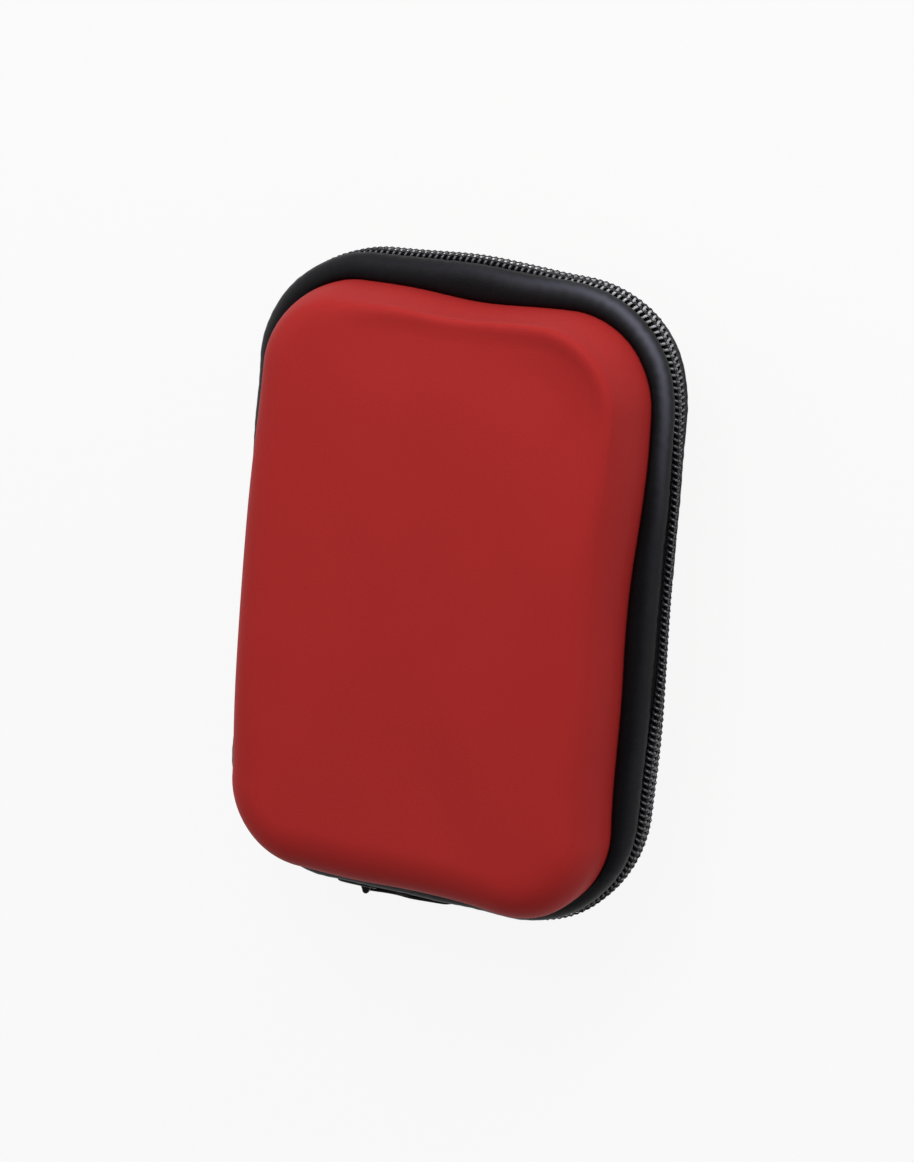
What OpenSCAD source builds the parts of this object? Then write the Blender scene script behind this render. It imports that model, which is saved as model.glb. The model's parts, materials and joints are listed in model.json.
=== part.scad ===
// Hard-shell zip case. Two moulded foam shells under a smooth cover carry a padded rim band each,
// a coil zip joins them round three sides and a cloth spine hinges them on the fourth.
// The case lies on its back with the lid up: the zip's centre line is half_depth above the table,
// the spine is on the -X side and the slider rests on the -Y side.
// Sections of the rim are drawn as [inset, level] pairs: inset is measured inwards from the
// outermost line of the zip, and level is measured away from the zip's centre line.

/* [Case] */
// Height of the case over the zip, along Y
case_h = 150; // [130:1:190]
// Width of the case over the zip, along X
case_w = 103; // [94:1:140]
// Depth of one half, from the zip's centre line to its flat face
half_depth = 28; // [25:1:36]
// Corner radius of the outermost line of the zip
rim_r = 29; // [27:0.5:31]

/* [Shell form] */
// Inset of the upright part of the cover
wall_inset = 6.4; // [6:0.1:7.5]
// Inset at which the cover has become flat
face_inset = 18.4; // [16:0.2:21]
// Squareness of the shoulder, where 2 is an ellipse
shoulder_power = 2.5; // [2:0.1:3.2]
// Flats that make up the shoulder's curve
shoulder_steps = 9; // [6:1:12]

/* [Shell walls] */
// Thickness of the smooth outer cover
cover_t = 0.6; // [0.4:0.1:1]
// Thickness of the moulded foam
foam_t = 3; // [2:0.25:3.5]
// Thickness of the cloth lining
lining_t = 0.6; // [0.4:0.1:0.8]
// Film of glue between two bonded layers
glue_t = 0.1; // [0.05:0.05:0.15]

/* [Rim] */
// Level of the mouth edge of the moulded foam
mouth_level = 4.2; // [4.1:0.1:4.8]
// Thickness of the flange round the mouth, to which the zip is sewn
flange_t = 1.4; // [1:0.1:1.8]
// Height of the padded band above the mouth edge
band_h = 4.5; // [4.1:0.1:5.2]
// How far the band's outermost line lies inside the outermost line of the zip
band_inset = 0.7; // [0.5:0.1:1]
// Squareness of the band's roll, where 2 is an ellipse
band_power = 2.3; // [2:0.1:3]
// Thickness of the tapes that bind the mouth and the pocket's edge
binding_t = 0.6; // [0.4:0.1:0.7]
// Width of the lip of the inner binding, down the lining
binding_lip = 3; // [2:0.25:3.25]

/* [Zip] */
// Distance between two teeth of one half of the coil
tooth_pitch = 1.5; // [1.4:0.05:2]
// Width of a tooth along the chain
tooth_w = 0.95; // [0.7:0.05:1]
// Thickness of the coil, from its outer line to the tape
coil_t = 2.1; // [1.9:0.05:2.2]
// Level of the outer edge of one half of the coil
coil_level = 2.7; // [2.4:0.05:2.75]
// Half of the slit between the two halves of the coil, where the slider's post runs
slit_half = 0.4; // [0.36:0.02:0.5]
// Thickness of the zip tape
tape_t = 0.6; // [0.4:0.05:0.65]
// Length that the zip leaves bare of each corner beside the spine, along its outermost line
bare_len = 12; // [10:0.5:20]
// Length of tape past the end of the coil, along the same line
tape_over_len = 6; // [4.5:0.5:7]
// Length of an end stop along the chain
stop_len = 2; // [1.5:0.25:3]

/* [Slider] */
// Length of the slider
slider_len = 10; // [8:0.5:12]
// Width of the slider at its mouths
slider_w = 7.8; // [7.6:0.1:7.9]
// Thickness of the slider's two plates
plate_t = 0.7; // [0.6:0.05:0.8]
// Running clearance between the slider and the chain
slider_gap = 0.2; // [0.15:0.05:0.2]
// Radius of the bail pin that carries the pull
pin_r = 0.35; // [0.3:0.05:0.45]
// Radial running clearance of the pull on its pin
pin_clear = 0.06; // [0.04:0.01:0.09]
// Length of the pull from the pin to its tip
pull_len = 22; // [16:0.5:26]
// Width of the pull's paddle
pull_w = 5; // [4.4:0.2:6]
// Thickness of the pull
pull_t = 0.9; // [0.7:0.05:1]

/* [Inside] */
// Level of the net of the lid's pocket
net_level = 9; // [8.6:0.1:10]
// Thickness of the net
net_t = 0.6; // [0.5:0.1:0.8]
// Distance from the case's centre to the pocket's free edge, along Y
pocket_top = 12; // [0:1:20]
// Width of the pocket's elastic hem
hem_w = 8; // [6:0.5:10]
// Spacing of the openings in the net
net_pitch = 6; // [6:0.25:9]
// Width of the elastic strap in the base
strap_w = 22; // [15:1:30]
// Thickness of the elastic strap
strap_t = 1.1; // [0.8:0.1:1.4]

/* [Hidden] */
$fn = 64;
seat = 0.1;            // clearance of a sewn or glued seat
soft_gap = 0.3;        // clearance under cloth that only lies on its seat
half_w = case_w / 2;
half_h = case_h / 2;
corner_x = half_w - rim_r;
corner_y = half_h - rim_r;
tape_u = coil_t + seat;
tape_end = mouth_level + flange_t;
flange_u = tape_u + tape_t + 2 * seat;
core_u = wall_inset + cover_t + glue_t;
lining_u = core_u + foam_t + glue_t;
inner_u = lining_u + lining_t;
cover_foot = tape_end + seat;
foot_level = mouth_level + band_h;
strap_level = half_depth - (inner_u - wall_inset) - soft_gap;
net_edge = inner_u + seat;
hem_t = 2 * net_t;
tape_back = 0.2;       // from the slit to the edge of the zip tape
tape_edge = slit_half + tape_back;
band_low = 0.7;        // from the mouth edge to the band's outermost line
band_tuck = 0.35;      // how far the band draws in below that line
band_steps = 6;
zip_end_a = 90 - bare_len * 180 / (PI * rim_r);
tape_a = zip_end_a + tape_over_len * 180 / (PI * rim_r);
spine_reach = corner_y + rim_r * cos(tape_a);
spine_bow = 1.6;       // power of the curve in which the spine swells to the hinge line
spine_steps = 6;
turn_round = 0.3 * coil_t;
stop_gap = 0.2 * tooth_pitch;
stop_lift = 0.07 * coil_t;
slider_way = 1.4;      // width of flange left bare for the slider's lower plate
slider_flat = 3;       // length over which the slider keeps its full width
nose_in = 0.7;         // how far each side draws in at the end where the two halves enter
tail_in = 1.5;         // the same where the closed chain leaves
slider_steps = 16;
plate_in = 0.6;        // how much narrower the lower plate is on each side
post_from = 0.6;       // from the nose to the slider's post
post_len = 2.4;
post_clear = 0.18;     // clearance of the slider's post in the slit
park_gap = 0.5;        // from the parked slider to the start of the corner
slider_x = -(corner_x - slider_len / 2 - park_gap);
pin_x = slider_len / 5;
pin_fit = 0.02;        // clearance of the pin in its ears
knuckle_t = 0.34;      // wall of the pull's knuckle
knuckle_r = pin_r + pin_clear + knuckle_t;
pin_lift = slider_gap + plate_t + knuckle_r + seat;
knuckle_w = 3.6;
ear_t = 0.8;
neck_w = 3;
paddle_from = 0.4 * pull_len;
cord_hole_r = 0.2 * pull_w;
pull_drop = asin((pin_lift - pull_t / 2 - slider_gap) / pull_len);
net_border = 2.5;      // plain edge of the net
net_open = 0.84;       // width of an opening, as a share of the spacing
pocket_lip = 2;        // width of the tape over the net's edge
tack_len = 4;
tack_t = 0.5;
tack_in = 1.5;         // from the strap's edges and ends to its tacks

// The outer face of the cover in section, from its upright wall over the shoulder to the flat face.
function shoulder(k) =
    let (t = 90 * k / shoulder_steps, e = 2 / shoulder_power)
    [
        wall_inset + (face_inset - wall_inset) * (1 - pow(cos(t), e)),
        foot_level + (half_depth - foot_level) * pow(sin(t), e)
    ];

// Unit vector into the case at point k of the shoulder.
function inward(k) =
    k == 0 ? [1, 0]
    : k == shoulder_steps ? [0, -1]
    : let (d = shoulder(k + 1) - shoulder(k - 1)) [d.y, -d.x] / norm(d);

// The same section, moved into the case by a depth.
function layer(depth) = [for (k = [0:shoulder_steps]) shoulder(k) + depth * inward(k)];

// Where a point of the zip lies: [x, y, direction of the outward normal]. s runs anticlockwise
// along the outermost line, from the corner below the spine to the corner above it.
arc_end = rim_r * zip_end_a * PI / 180;
arc_full = rim_r * PI / 2;
run_x = 2 * corner_x;
run_y = 2 * corner_y;
zip_len = 2 * arc_end + 2 * arc_full + 2 * run_x + run_y;
function on_arc(cx, cy, a) = [cx + rim_r * cos(a), cy + rim_r * sin(a), a];
function on_zip(s) =
    let (
        s1 = s - arc_end,
        s2 = s1 - run_x,
        s3 = s2 - arc_full,
        s4 = s3 - run_y,
        s5 = s4 - arc_full,
        s6 = s5 - run_x,
        turn = 180 / (PI * rim_r)
    )
    s1 < 0 ? on_arc(-corner_x, -corner_y, 270 + s1 * turn)
    : s2 < 0 ? [s1 - corner_x, -half_h, 270]
    : s3 < 0 ? on_arc(corner_x, -corner_y, 270 + s2 * turn)
    : s4 < 0 ? [half_w, s3 - corner_y, 0]
    : s5 < 0 ? on_arc(corner_x, corner_y, s4 * turn)
    : s6 < 0 ? [corner_x - s5, half_h, 90]
    : on_arc(-corner_x, corner_y, 90 + s6 * turn);

// True where a point is inside the rim outline moved in by an inset.
function within(x, y, inset) =
    norm([max(abs(x) - corner_x, 0), max(abs(y) - corner_y, 0)]) < rim_r - inset;

// One straight side of a section swept round the rim. Side 0 faces +X, 1 +Y, 2 -X and 3 -Y.
module side(n, section) {
    reach = n % 2 == 0 ? half_w : half_h;
    run = n % 2 == 0 ? run_y : run_x;
    rotate(90 * n)
        translate([reach, 0, 0])
            rotate([90, 0, 0])
                linear_extrude(run, center = true)
                    polygon([for (p = section) [-p.x, p.y]]);
}

// One corner of a section swept round the rim. Corner n follows side n.
module bend(n, section) {
    sx = n == 0 || n == 3 ? 1 : -1;
    sy = n < 2 ? 1 : -1;
    translate([sx * corner_x, sy * corner_y, 0])
        rotate(90 * n)
            rotate_extrude(angle = 90)
                polygon([for (p = section) [rim_r - p.x, p.y]]);
}

// A closed section swept all the way round.
module rim_loop(section) {
    for (n = [0:3]) {
        side(n, section);
        bend(n, section);
    }
}

// The stretch beside the spine, as a block over half of its length each way.
module beside_spine(reach) {
    translate([-case_w, -reach, -1])
        cube([case_w, 2 * reach, half_depth]);
}

// A solid pillow under a section that climbs from its lowest to its highest point.
module pillow(section) {
    low = section[0].y;
    high = section[len(section) - 1].y;
    rim_loop(concat(section, [[rim_r, high], [rim_r, low]]));
    translate([-corner_x, -corner_y, low])
        cube([run_x, run_y, high - low]);
}

// Puts a half in place: the lid as drawn, the base turned over.
module in_lid() translate([0, 0, half_depth]) children();
module in_base() translate([0, 0, half_depth]) mirror([0, 0, 1]) children();

// Moulded foam: a tray with a flange round its mouth.
module half_core() {
    difference() {
        pillow(concat(
            [[flange_u, mouth_level], [flange_u, tape_end], [core_u, tape_end]],
            layer(cover_t + glue_t)
        ));
        pillow(concat([[core_u + foam_t, mouth_level - 1]], layer(cover_t + glue_t + foam_t)));
    }
}

// Smooth cover, bonded to the outside of the foam.
module half_cover() {
    difference() {
        pillow(concat([[wall_inset, cover_foot]], layer(0)));
        pillow(concat([[wall_inset + cover_t, cover_foot - 1]], layer(cover_t)));
    }
}

// Cloth lining, bonded to the inside of the foam.
module half_lining() {
    outer = lining_u - wall_inset;
    difference() {
        pillow(concat([[lining_u, mouth_level]], layer(outer)));
        pillow(concat([[inner_u, mouth_level - 1]], layer(outer + lining_t)));
    }
}

// Padded band round the rim: a roll that stands proud of the flange and closes on the cover. From its
// outermost line it follows a quarter of a superellipse up to the cover's wall.
module half_band() {
    inner = wall_inset - seat;
    roll = [for (k = [0:band_steps])
        let (t = 90 * k / band_steps, e = 2 / band_power)
        [
            inner - (inner - band_inset) * pow(cos(t), e),
            mouth_level + band_low + (band_h - band_low) * pow(sin(t), e)
        ]];
    rim_loop(concat(
        [[tape_u - seat, mouth_level], [band_inset + band_tuck, mouth_level]],
        roll,
        [[inner, cover_foot], [tape_u - seat, cover_foot]]
    ));
}

// Zip tape, sewn between the band and the flange.
module half_tape() {
    difference() {
        rim_loop([
            [tape_u, tape_edge],
            [tape_u + tape_t, tape_edge],
            [tape_u + tape_t, tape_end],
            [tape_u, tape_end]
        ]);
        beside_spine(spine_reach);
    }
}

// One turn of the coil: upright on the tape, with its outer corners rounded off.
module tooth(width = tooth_w, lift = 0) {
    rotate([90, 0, 0])
        linear_extrude(width, center = true)
            polygon([
                [-turn_round, slit_half],
                [lift, slit_half + turn_round],
                [lift, coil_level - turn_round],
                [-turn_round, coil_level],
                [-coil_t, coil_level],
                [-coil_t, slit_half]
            ]);
}

module place_on_zip(s) {
    p = on_zip(s);
    translate([p.x, p.y, 0]) rotate(p.z) children();
}

// Teeth of one half. shift staggers the halves, and the gap leaves room under the parked slider.
module half_coil(shift, gap_from, gap_to) {
    count = floor(zip_len / tooth_pitch) - 1;
    for (i = [0:count]) {
        s = (i + 0.5 + shift) * tooth_pitch;
        on_bottom = s - arc_end - corner_x;
        if (s + tooth_w / 2 < zip_len && !(on_bottom > gap_from && on_bottom < gap_to))
            place_on_zip(s) tooth();
    }
}

// Clamped stops at both ends of the chain.
module half_stops() {
    away = stop_len / 2 + stop_gap;
    for (s = [-away, zip_len + away])
        place_on_zip(s) tooth(stop_len, stop_lift);
}

// Binding that closes the mouth over foam and lining, with a lip down the lining.
module half_binding() {
    face = mouth_level - seat;
    edge = inner_u + seat;
    rim_loop([
        [flange_u + slider_way, face - binding_t],
        [edge + binding_t, face - binding_t],
        [edge + binding_t, mouth_level + binding_lip],
        [edge, mouth_level + binding_lip],
        [edge, face],
        [flange_u + slider_way, face]
    ]);
}

// Half of the cloth spine. It leaves the flange, swells out to the hinge line and reaches round both
// corners to the ends of the zip tape.
module half_spine() {
    bow = [for (k = [0:spine_steps])
        let (rise = 1 - k / spine_steps)
        [seat / 2 + (tape_u - seat / 2) * pow(rise, spine_bow), seat + (mouth_level - seat) * rise]];
    back = [for (k = [spine_steps:-1:0]) bow[k] + [tape_t, 0]];
    intersection() {
        rim_loop(concat([[tape_u, tape_end]], bow, back, [[tape_u + tape_t, tape_end]]));
        beside_spine(spine_reach - seat);
    }
}

module rear_core() color([0.2, 0.2, 0.21]) in_base() half_core();
module front_core() color([0.2, 0.2, 0.21]) in_lid() half_core();
module rear_cover() color([0.62, 0.16, 0.16]) in_base() half_cover();
module front_cover() color([0.62, 0.16, 0.16]) in_lid() half_cover();
module rear_lining() color([0.13, 0.13, 0.14]) in_base() half_lining();
module front_lining() color([0.13, 0.13, 0.14]) in_lid() half_lining();
module rear_rim_band() color([0.1, 0.09, 0.1]) in_base() half_band();
module front_rim_band() color([0.1, 0.09, 0.1]) in_lid() half_band();
module rear_zip_tape() color([0.07, 0.07, 0.08]) in_base() half_tape();
module front_zip_tape() color([0.07, 0.07, 0.08]) in_lid() half_tape();
module rear_end_stops() color([0.12, 0.12, 0.13]) in_base() half_stops();
module front_end_stops() color([0.12, 0.12, 0.13]) in_lid() half_stops();
module rear_inner_binding() color([0.09, 0.09, 0.1]) in_base() half_binding();
module front_inner_binding() color([0.09, 0.09, 0.1]) in_lid() half_binding();
module rear_spine_strip() color([0.08, 0.08, 0.09]) in_base() half_spine();
module front_spine_strip() color([0.08, 0.08, 0.09]) in_lid() half_spine();

module rear_coil() {
    color([0.18, 0.18, 0.2])
        in_base()
            half_coil(0, 0, 0);
}

// The lid's teeth leave the slider when the lid lifts, so none stands inside the parked slider.
module front_coil() {
    reach = (slider_len + tooth_w) / 2 + slider_gap;
    color([0.18, 0.18, 0.2])
        in_lid()
            half_coil(0.5, slider_x - reach, slider_x + reach);
}

// Elastic strap across the base, with a sewn tack at each end.
strap_reach = half_w - face_inset;
module elastic_strap() {
    color([0.12, 0.12, 0.13])
        in_base()
            translate([-strap_reach, -strap_w / 2, strap_level - strap_t])
                cube([2 * strap_reach, strap_w, strap_t]);
}

module strap_tacks() {
    away = strap_reach - tack_in - tack_len / 2;
    color([0.16, 0.16, 0.17])
        in_base()
            for (x = [-away, away])
                translate([x, 0, strap_level - strap_t - seat - tack_t / 2])
                    cube([tack_len, strap_w - 2 * tack_in, tack_t], center = true);
}

// Net of the lid's pocket: hexagonal openings in staggered rows, framed by a plain edge.
module pocket_net() {
    edge_y = pocket_top - hem_w - seat;
    hole_r = net_open * net_pitch / 2;
    row = net_pitch * sin(60);
    rows = ceil(half_h / row);
    columns = ceil(half_w / net_pitch);
    color([0.14, 0.14, 0.15])
        in_lid()
            difference() {
                intersection() {
                    pillow([[net_edge, net_level], [net_edge, net_level + net_t]]);
                    translate([-half_w, -half_h, net_level - 1])
                        cube([case_w, half_h + edge_y, net_t + 2]);
                }
                for (j = [-rows:rows])
                    for (i = [-columns:columns]) {
                        x = (i + (j % 2 == 0 ? 0 : 0.5)) * net_pitch;
                        y = j * row;
                        if (y < edge_y - net_border - hole_r && within(x, y, net_edge + net_border + hole_r))
                            translate([x, y, net_level - 1])
                                rotate(30)
                                    cylinder(h = net_t + 2, r = hole_r, $fn = 6);
                    }
            }
}

// Elastic hem along the pocket's free edge.
module pocket_hem() {
    reach = half_w - net_edge;
    color([0.1, 0.1, 0.11])
        in_lid()
            translate([-reach, pocket_top - hem_w, net_level - (hem_t - net_t) / 2])
                cube([2 * reach, hem_w, hem_t]);
}

// Tape that holds the net's edge to the lining, down both sides and round the bottom.
module pocket_binding() {
    over_net = net_level + net_t + seat;
    section = [
        [net_edge, over_net],
        [net_edge, over_net + binding_t],
        [net_edge + pocket_lip, over_net + binding_t],
        [net_edge + pocket_lip, over_net]
    ];
    top = pocket_top - hem_w - seat;
    color([0.09, 0.09, 0.1])
        in_lid()
            intersection() {
                rim_loop(section);
                translate([-half_w, -half_h, 0])
                    cube([case_w, half_h + top, half_depth]);
            }
}

// The slider's own axes: X along the chain, Y away from the centre line, Z outwards.
module at_slider() translate([slider_x, -half_h, half_depth]) rotate([90, 0, 0]) children();

// Half of the slider's width at a place along the chain: past the flat stretch in its middle, each
// side draws in by the square of the way to the nose, on the left, or to the tail.
function slider_side(x) =
    let (past = max(0, abs(x) - slider_flat / 2) / (slider_len / 2 - slider_flat / 2))
    slider_w / 2 - (x < 0 ? nose_in : tail_in) * past * past;

module slider_outline(shrink = 0) {
    places = [for (k = [0:slider_steps]) slider_len * (k / slider_steps - 0.5)];
    polygon(concat(
        [for (x = places) [x, slider_side(x) - shrink]],
        [for (k = [slider_steps:-1:0]) [places[k], shrink - slider_side(places[k])]]
    ));
}

// Two plates joined by a thin post at the nose, side walls along the coil and two ears for the pin.
module slider_body() {
    flange_in = coil_level + slider_gap + seat;
    wall_low = slider_gap + seat - tape_u;
    plate_low = -(tape_u + tape_t + slider_gap + seat);
    post_half = slit_half - post_clear;
    plate_top = slider_gap + plate_t;
    color([0.15, 0.15, 0.16])
        at_slider() {
            difference() {
                translate([0, 0, wall_low]) linear_extrude(plate_top - wall_low) slider_outline();
                translate([-slider_len, -flange_in, wall_low - 1])
                    cube([2 * slider_len, 2 * flange_in, slider_gap - wall_low + 1]);
            }
            translate([post_from - slider_len / 2, -post_half, plate_low - plate_t / 2])
                cube([post_len, 2 * post_half, slider_gap - plate_low + plate_t]);
            translate([0, 0, plate_low - plate_t]) linear_extrude(plate_t) slider_outline(plate_in);
            for (y = [-1, 1])
                translate([pin_x, y * (knuckle_w / 2 + seat + ear_t / 2), 0])
                    difference() {
                        union() {
                            translate([0, 0, pin_lift])
                                rotate([90, 0, 0])
                                    cylinder(h = ear_t, r = knuckle_r, center = true);
                            translate([-knuckle_r, -ear_t / 2, plate_top - plate_t / 2])
                                cube([2 * knuckle_r, ear_t, pin_lift - plate_top + plate_t / 2]);
                        }
                        translate([0, 0, pin_lift])
                            rotate([90, 0, 0])
                                cylinder(h = 2 * ear_t, r = pin_r + pin_fit, center = true);
                    }
        }
}

module bail_pin() {
    color([0.2, 0.2, 0.21])
        at_slider()
            translate([pin_x, 0, pin_lift])
                rotate([90, 0, 0])
                    cylinder(h = knuckle_w + 2 * ear_t + 4 * seat, r = pin_r, center = true);
}

// Pull: a knuckle on the pin, a neck and a paddle with a round end and a cord hole.
// It lies along the chain with its tip resting just off the coil.
module pull_tab() {
    tip = pull_len - pull_w / 2;
    color([0.13, 0.13, 0.14])
        at_slider()
            translate([pin_x, 0, pin_lift])
                rotate([0, pull_drop, 0])
                    difference() {
                        union() {
                            rotate([90, 0, 0])
                                cylinder(h = knuckle_w, r = knuckle_r, center = true);
                            translate([0, -neck_w / 2, -pull_t / 2])
                                cube([pull_len / 2, neck_w, pull_t]);
                            translate([paddle_from, -pull_w / 2, -pull_t / 2])
                                cube([tip - paddle_from, pull_w, pull_t]);
                            translate([tip, 0, 0])
                                cylinder(h = pull_t, r = pull_w / 2, center = true);
                        }
                        rotate([90, 0, 0])
                            cylinder(h = 2 * knuckle_w, r = pin_r + pin_clear, center = true);
                        translate([tip, 0, 0])
                            cylinder(h = 2 * pull_t, r = cord_hole_r, center = true);
                    }
}

rear_core();
rear_cover();
rear_lining();
rear_rim_band();
rear_zip_tape();
rear_coil();
rear_end_stops();
rear_inner_binding();
rear_spine_strip();
elastic_strap();
strap_tacks();
front_core();
front_cover();
front_lining();
front_rim_band();
front_zip_tape();
front_coil();
front_end_stops();
front_inner_binding();
front_spine_strip();
pocket_net();
pocket_hem();
pocket_binding();
slider_body();
bail_pin();
pull_tab();
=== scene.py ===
import json
import math

import bpy
import bmesh
import numpy as np
from mathutils import Matrix, Vector


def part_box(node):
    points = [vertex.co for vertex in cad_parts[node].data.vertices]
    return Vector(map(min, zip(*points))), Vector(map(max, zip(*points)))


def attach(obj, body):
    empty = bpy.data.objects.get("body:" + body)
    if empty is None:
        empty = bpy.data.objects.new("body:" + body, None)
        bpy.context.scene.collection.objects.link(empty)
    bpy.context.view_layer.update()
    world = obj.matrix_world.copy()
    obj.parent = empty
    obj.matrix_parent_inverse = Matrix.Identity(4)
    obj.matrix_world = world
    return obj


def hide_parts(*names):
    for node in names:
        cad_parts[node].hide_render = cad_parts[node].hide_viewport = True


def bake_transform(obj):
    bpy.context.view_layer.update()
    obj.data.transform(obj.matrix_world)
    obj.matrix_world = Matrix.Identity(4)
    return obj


# A hard-shell zip case. It lies on its back with the lid up, and the spine is on the -X side.
# Lengths are in millimetres until a mesh is made. A point of the rim is given by three numbers: the
# distance along the zip's outermost line, the inset from that line and the level away from the zip.

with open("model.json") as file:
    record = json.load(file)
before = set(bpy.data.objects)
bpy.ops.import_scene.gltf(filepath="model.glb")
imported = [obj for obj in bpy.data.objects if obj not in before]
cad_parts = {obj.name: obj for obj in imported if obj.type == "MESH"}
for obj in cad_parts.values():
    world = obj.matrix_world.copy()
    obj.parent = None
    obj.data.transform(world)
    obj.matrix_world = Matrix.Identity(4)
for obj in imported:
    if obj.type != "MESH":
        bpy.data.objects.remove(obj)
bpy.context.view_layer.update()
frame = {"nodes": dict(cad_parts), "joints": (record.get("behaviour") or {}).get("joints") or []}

MM = 0.001
LID, BASE = 1, -1

# Outline of the zip, from the frame
hinge = next(j for j in frame["joints"] if j["name"] == "lid_hinge")
ZIP_Z = hinge["pos_m"][2] / MM
HALF_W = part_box("rear_coil")[1].x / MM
HALF_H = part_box("rear_coil")[1].y / MM
HALF_DEPTH = ZIP_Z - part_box("rear_cover")[0].z / MM
SLIDER_X = sum(corner.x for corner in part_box("slider_body")) / 2 / MM
PIN_X = sum(corner.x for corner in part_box("bail_pin")) / 2 / MM
PIN_OUT = -sum(corner.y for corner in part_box("bail_pin")) / 2 / MM - HALF_H
NET_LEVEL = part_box("pocket_net")[0].z / MM - ZIP_Z
HEM_LOW, HEM_HIGH = (corner.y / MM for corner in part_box("pocket_hem"))
STRAP_REACH, STRAP_HALF = (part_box("elastic_strap")[1][axis] / MM for axis in (0, 1))
STRAP_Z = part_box("elastic_strap")[1].z / MM

# Corners and sections of the shell
RIM_R = 29
SKIN_R = 26.3
WALL_INSET = 6.4
FACE_INSET = 18.4
SHOULDER_POWER = 2.5
SEAM_LEVEL = 8.7
SKIN_FOOT = 5.8
SKIN_T = 0.6
FOAM_T = 3
LINING_T = 0.6
GLUE_T = 0.1
LID_CROWN = 1
MOUTH_LEVEL = 4.2
FLANGE_LEVEL = 5.6
FLANGE_INSET = 3
FOAM_DEPTH = SKIN_T + GLUE_T
LINING_DEPTH = FOAM_DEPTH + FOAM_T + GLUE_T
INNER_INSET = WALL_INSET + LINING_DEPTH + LINING_T
FLANGE = [(WALL_INSET + LINING_DEPTH - GLUE_T, MOUTH_LEVEL), (FLANGE_INSET, MOUTH_LEVEL),
          (FLANGE_INSET, FLANGE_LEVEL), (WALL_INSET + FOAM_DEPTH, FLANGE_LEVEL)]

# Zip
PITCH = 1.5
WIRE = 0.66
COIL_T = 2.1
COIL_LEVEL = 2.7
HEAD_OVER = 0.32
TAPE_INSET = 2.2
TAPE_T = 0.55
TAPE_LOW = 0.5
TAPE_HIGH = 5.5
BARE_LENGTH = 12
TAPE_OVER = 6

RUN_X = 2 * (HALF_W - RIM_R)
RUN_Y = 2 * (HALF_H - RIM_R)
CORNER = math.pi / 2 * RIM_R
AROUND = 2 * (RUN_X + RUN_Y + 2 * CORNER)
ZIP_FROM = RUN_Y / 2 + BARE_LENGTH
TAPE_FROM = ZIP_FROM - TAPE_OVER


# Shapes

def evenly(whole, count):
    """count numbers from 0 on, evenly apart, of which the next would be whole."""
    return np.linspace(0, whole, count, endpoint=False)


def length_of(line):
    """The length of a line of points, from each to the next."""
    return np.linalg.norm(np.diff(line, axis=0), axis=1).sum()


def smooth_step(x, start, end):
    """Rises smoothly from 0 at start to 1 at end, of which either may be the larger."""
    x = np.clip((x - start) / (end - start), 0, 1)
    return x * x * (3 - 2 * x)


def between(x, rise, fall):
    """Rises from 0 to 1 over the first pair of bounds and falls back to 0 over the second."""
    return smooth_step(x, *rise) * (1 - smooth_step(x, *fall))


def humps(clock, places):
    """The sum of one smooth hump for each place: its amount times e to the power of minus the squared
    angle from it, in spreads."""
    away = (clock[..., None] - np.array([p[0] for p in places]) + 180) % 360 - 180
    spread, amount = (np.array([p[i] for p in places]) for i in (1, 2))
    return (amount * np.exp(-(away / spread) ** 2)).sum(-1)


def ripple(s, lengths, seed):
    """An uneven wave round the rim, from about -1 to 1: the sum of one sine for each wavelength in
    lengths, over the root of their number. Each has its own phase, and is fitted a whole number of
    times."""
    phases = np.random.default_rng(seed).uniform(0, math.tau, len(lengths))
    waves = [np.sin(math.tau * round(AROUND / w) * s / AROUND + p) for w, p in zip(lengths, phases)]
    return sum(waves) / math.sqrt(len(lengths))


def rim(s, inset, level, radius=RIM_R):
    """Points round the rim. s runs from the middle of the spine over the bottom, the zip's long side and
    the top. The core point and the normal's angle are straight-line functions of s, and a point is the
    core point plus (radius - inset) times the normal, at the given level."""
    knots = np.cumsum([0, RUN_Y / 2, CORNER, RUN_X, CORNER, RUN_Y, CORNER, RUN_X, CORNER, RUN_Y / 2])
    s = np.asarray(s) % AROUND
    angle = np.interp(s, knots, np.radians([180, 180, 270, 270, 360, 360, 450, 450, 540, 540]))
    core_x = np.interp(s, knots, [-1, -1, -1, 1, 1, 1, 1, -1, -1, -1])
    core_y = np.interp(s, knots, [0, -1, -1, -1, -1, 1, 1, 1, 1, 0])
    x = core_x * (HALF_W - radius) + (radius - inset) * np.cos(angle)
    y = core_y * (HALF_H - radius) + (radius - inset) * np.sin(angle)
    return np.stack(np.broadcast_arrays(x, y, level), -1)


# Where the soft case strays outwards from its plain outline: clock angle, spread and millimetres
ZIP_STRAYS = [(-52, 12, 0.8), (-18, 18, 1.1), (33, 9, -0.9), (47, 6, 0.4), (66, 7, -0.45), (91, 14, 1.0),
              (128, 14, -0.6)]
SKIN_STRAYS = [(-50, 14, 2.4), (-20, 14, 0.75), (30, 16, 1.15), (85, 17, -1.5), (139, 18, -1.5),
               (222, 12, -1.2), (256, 13, 0.5)]
SKIN_PLUS = 0.3
SKIN_LEAN = (-0.4, -0.45)
BASE_SHARE = 0.4
# Levels over which the zip's straying falls by half, insets over which it gives way to the skin's, and
# insets over which the skin's and its shoulder's fade in from the middle of the face
HALF_LEVELS = (COIL_LEVEL, 5)
SKIN_INSETS = (2.6, WALL_INSET)
SKIN_FADE, SHOULDER_FADE = (27, 12), (28, 13)
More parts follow.
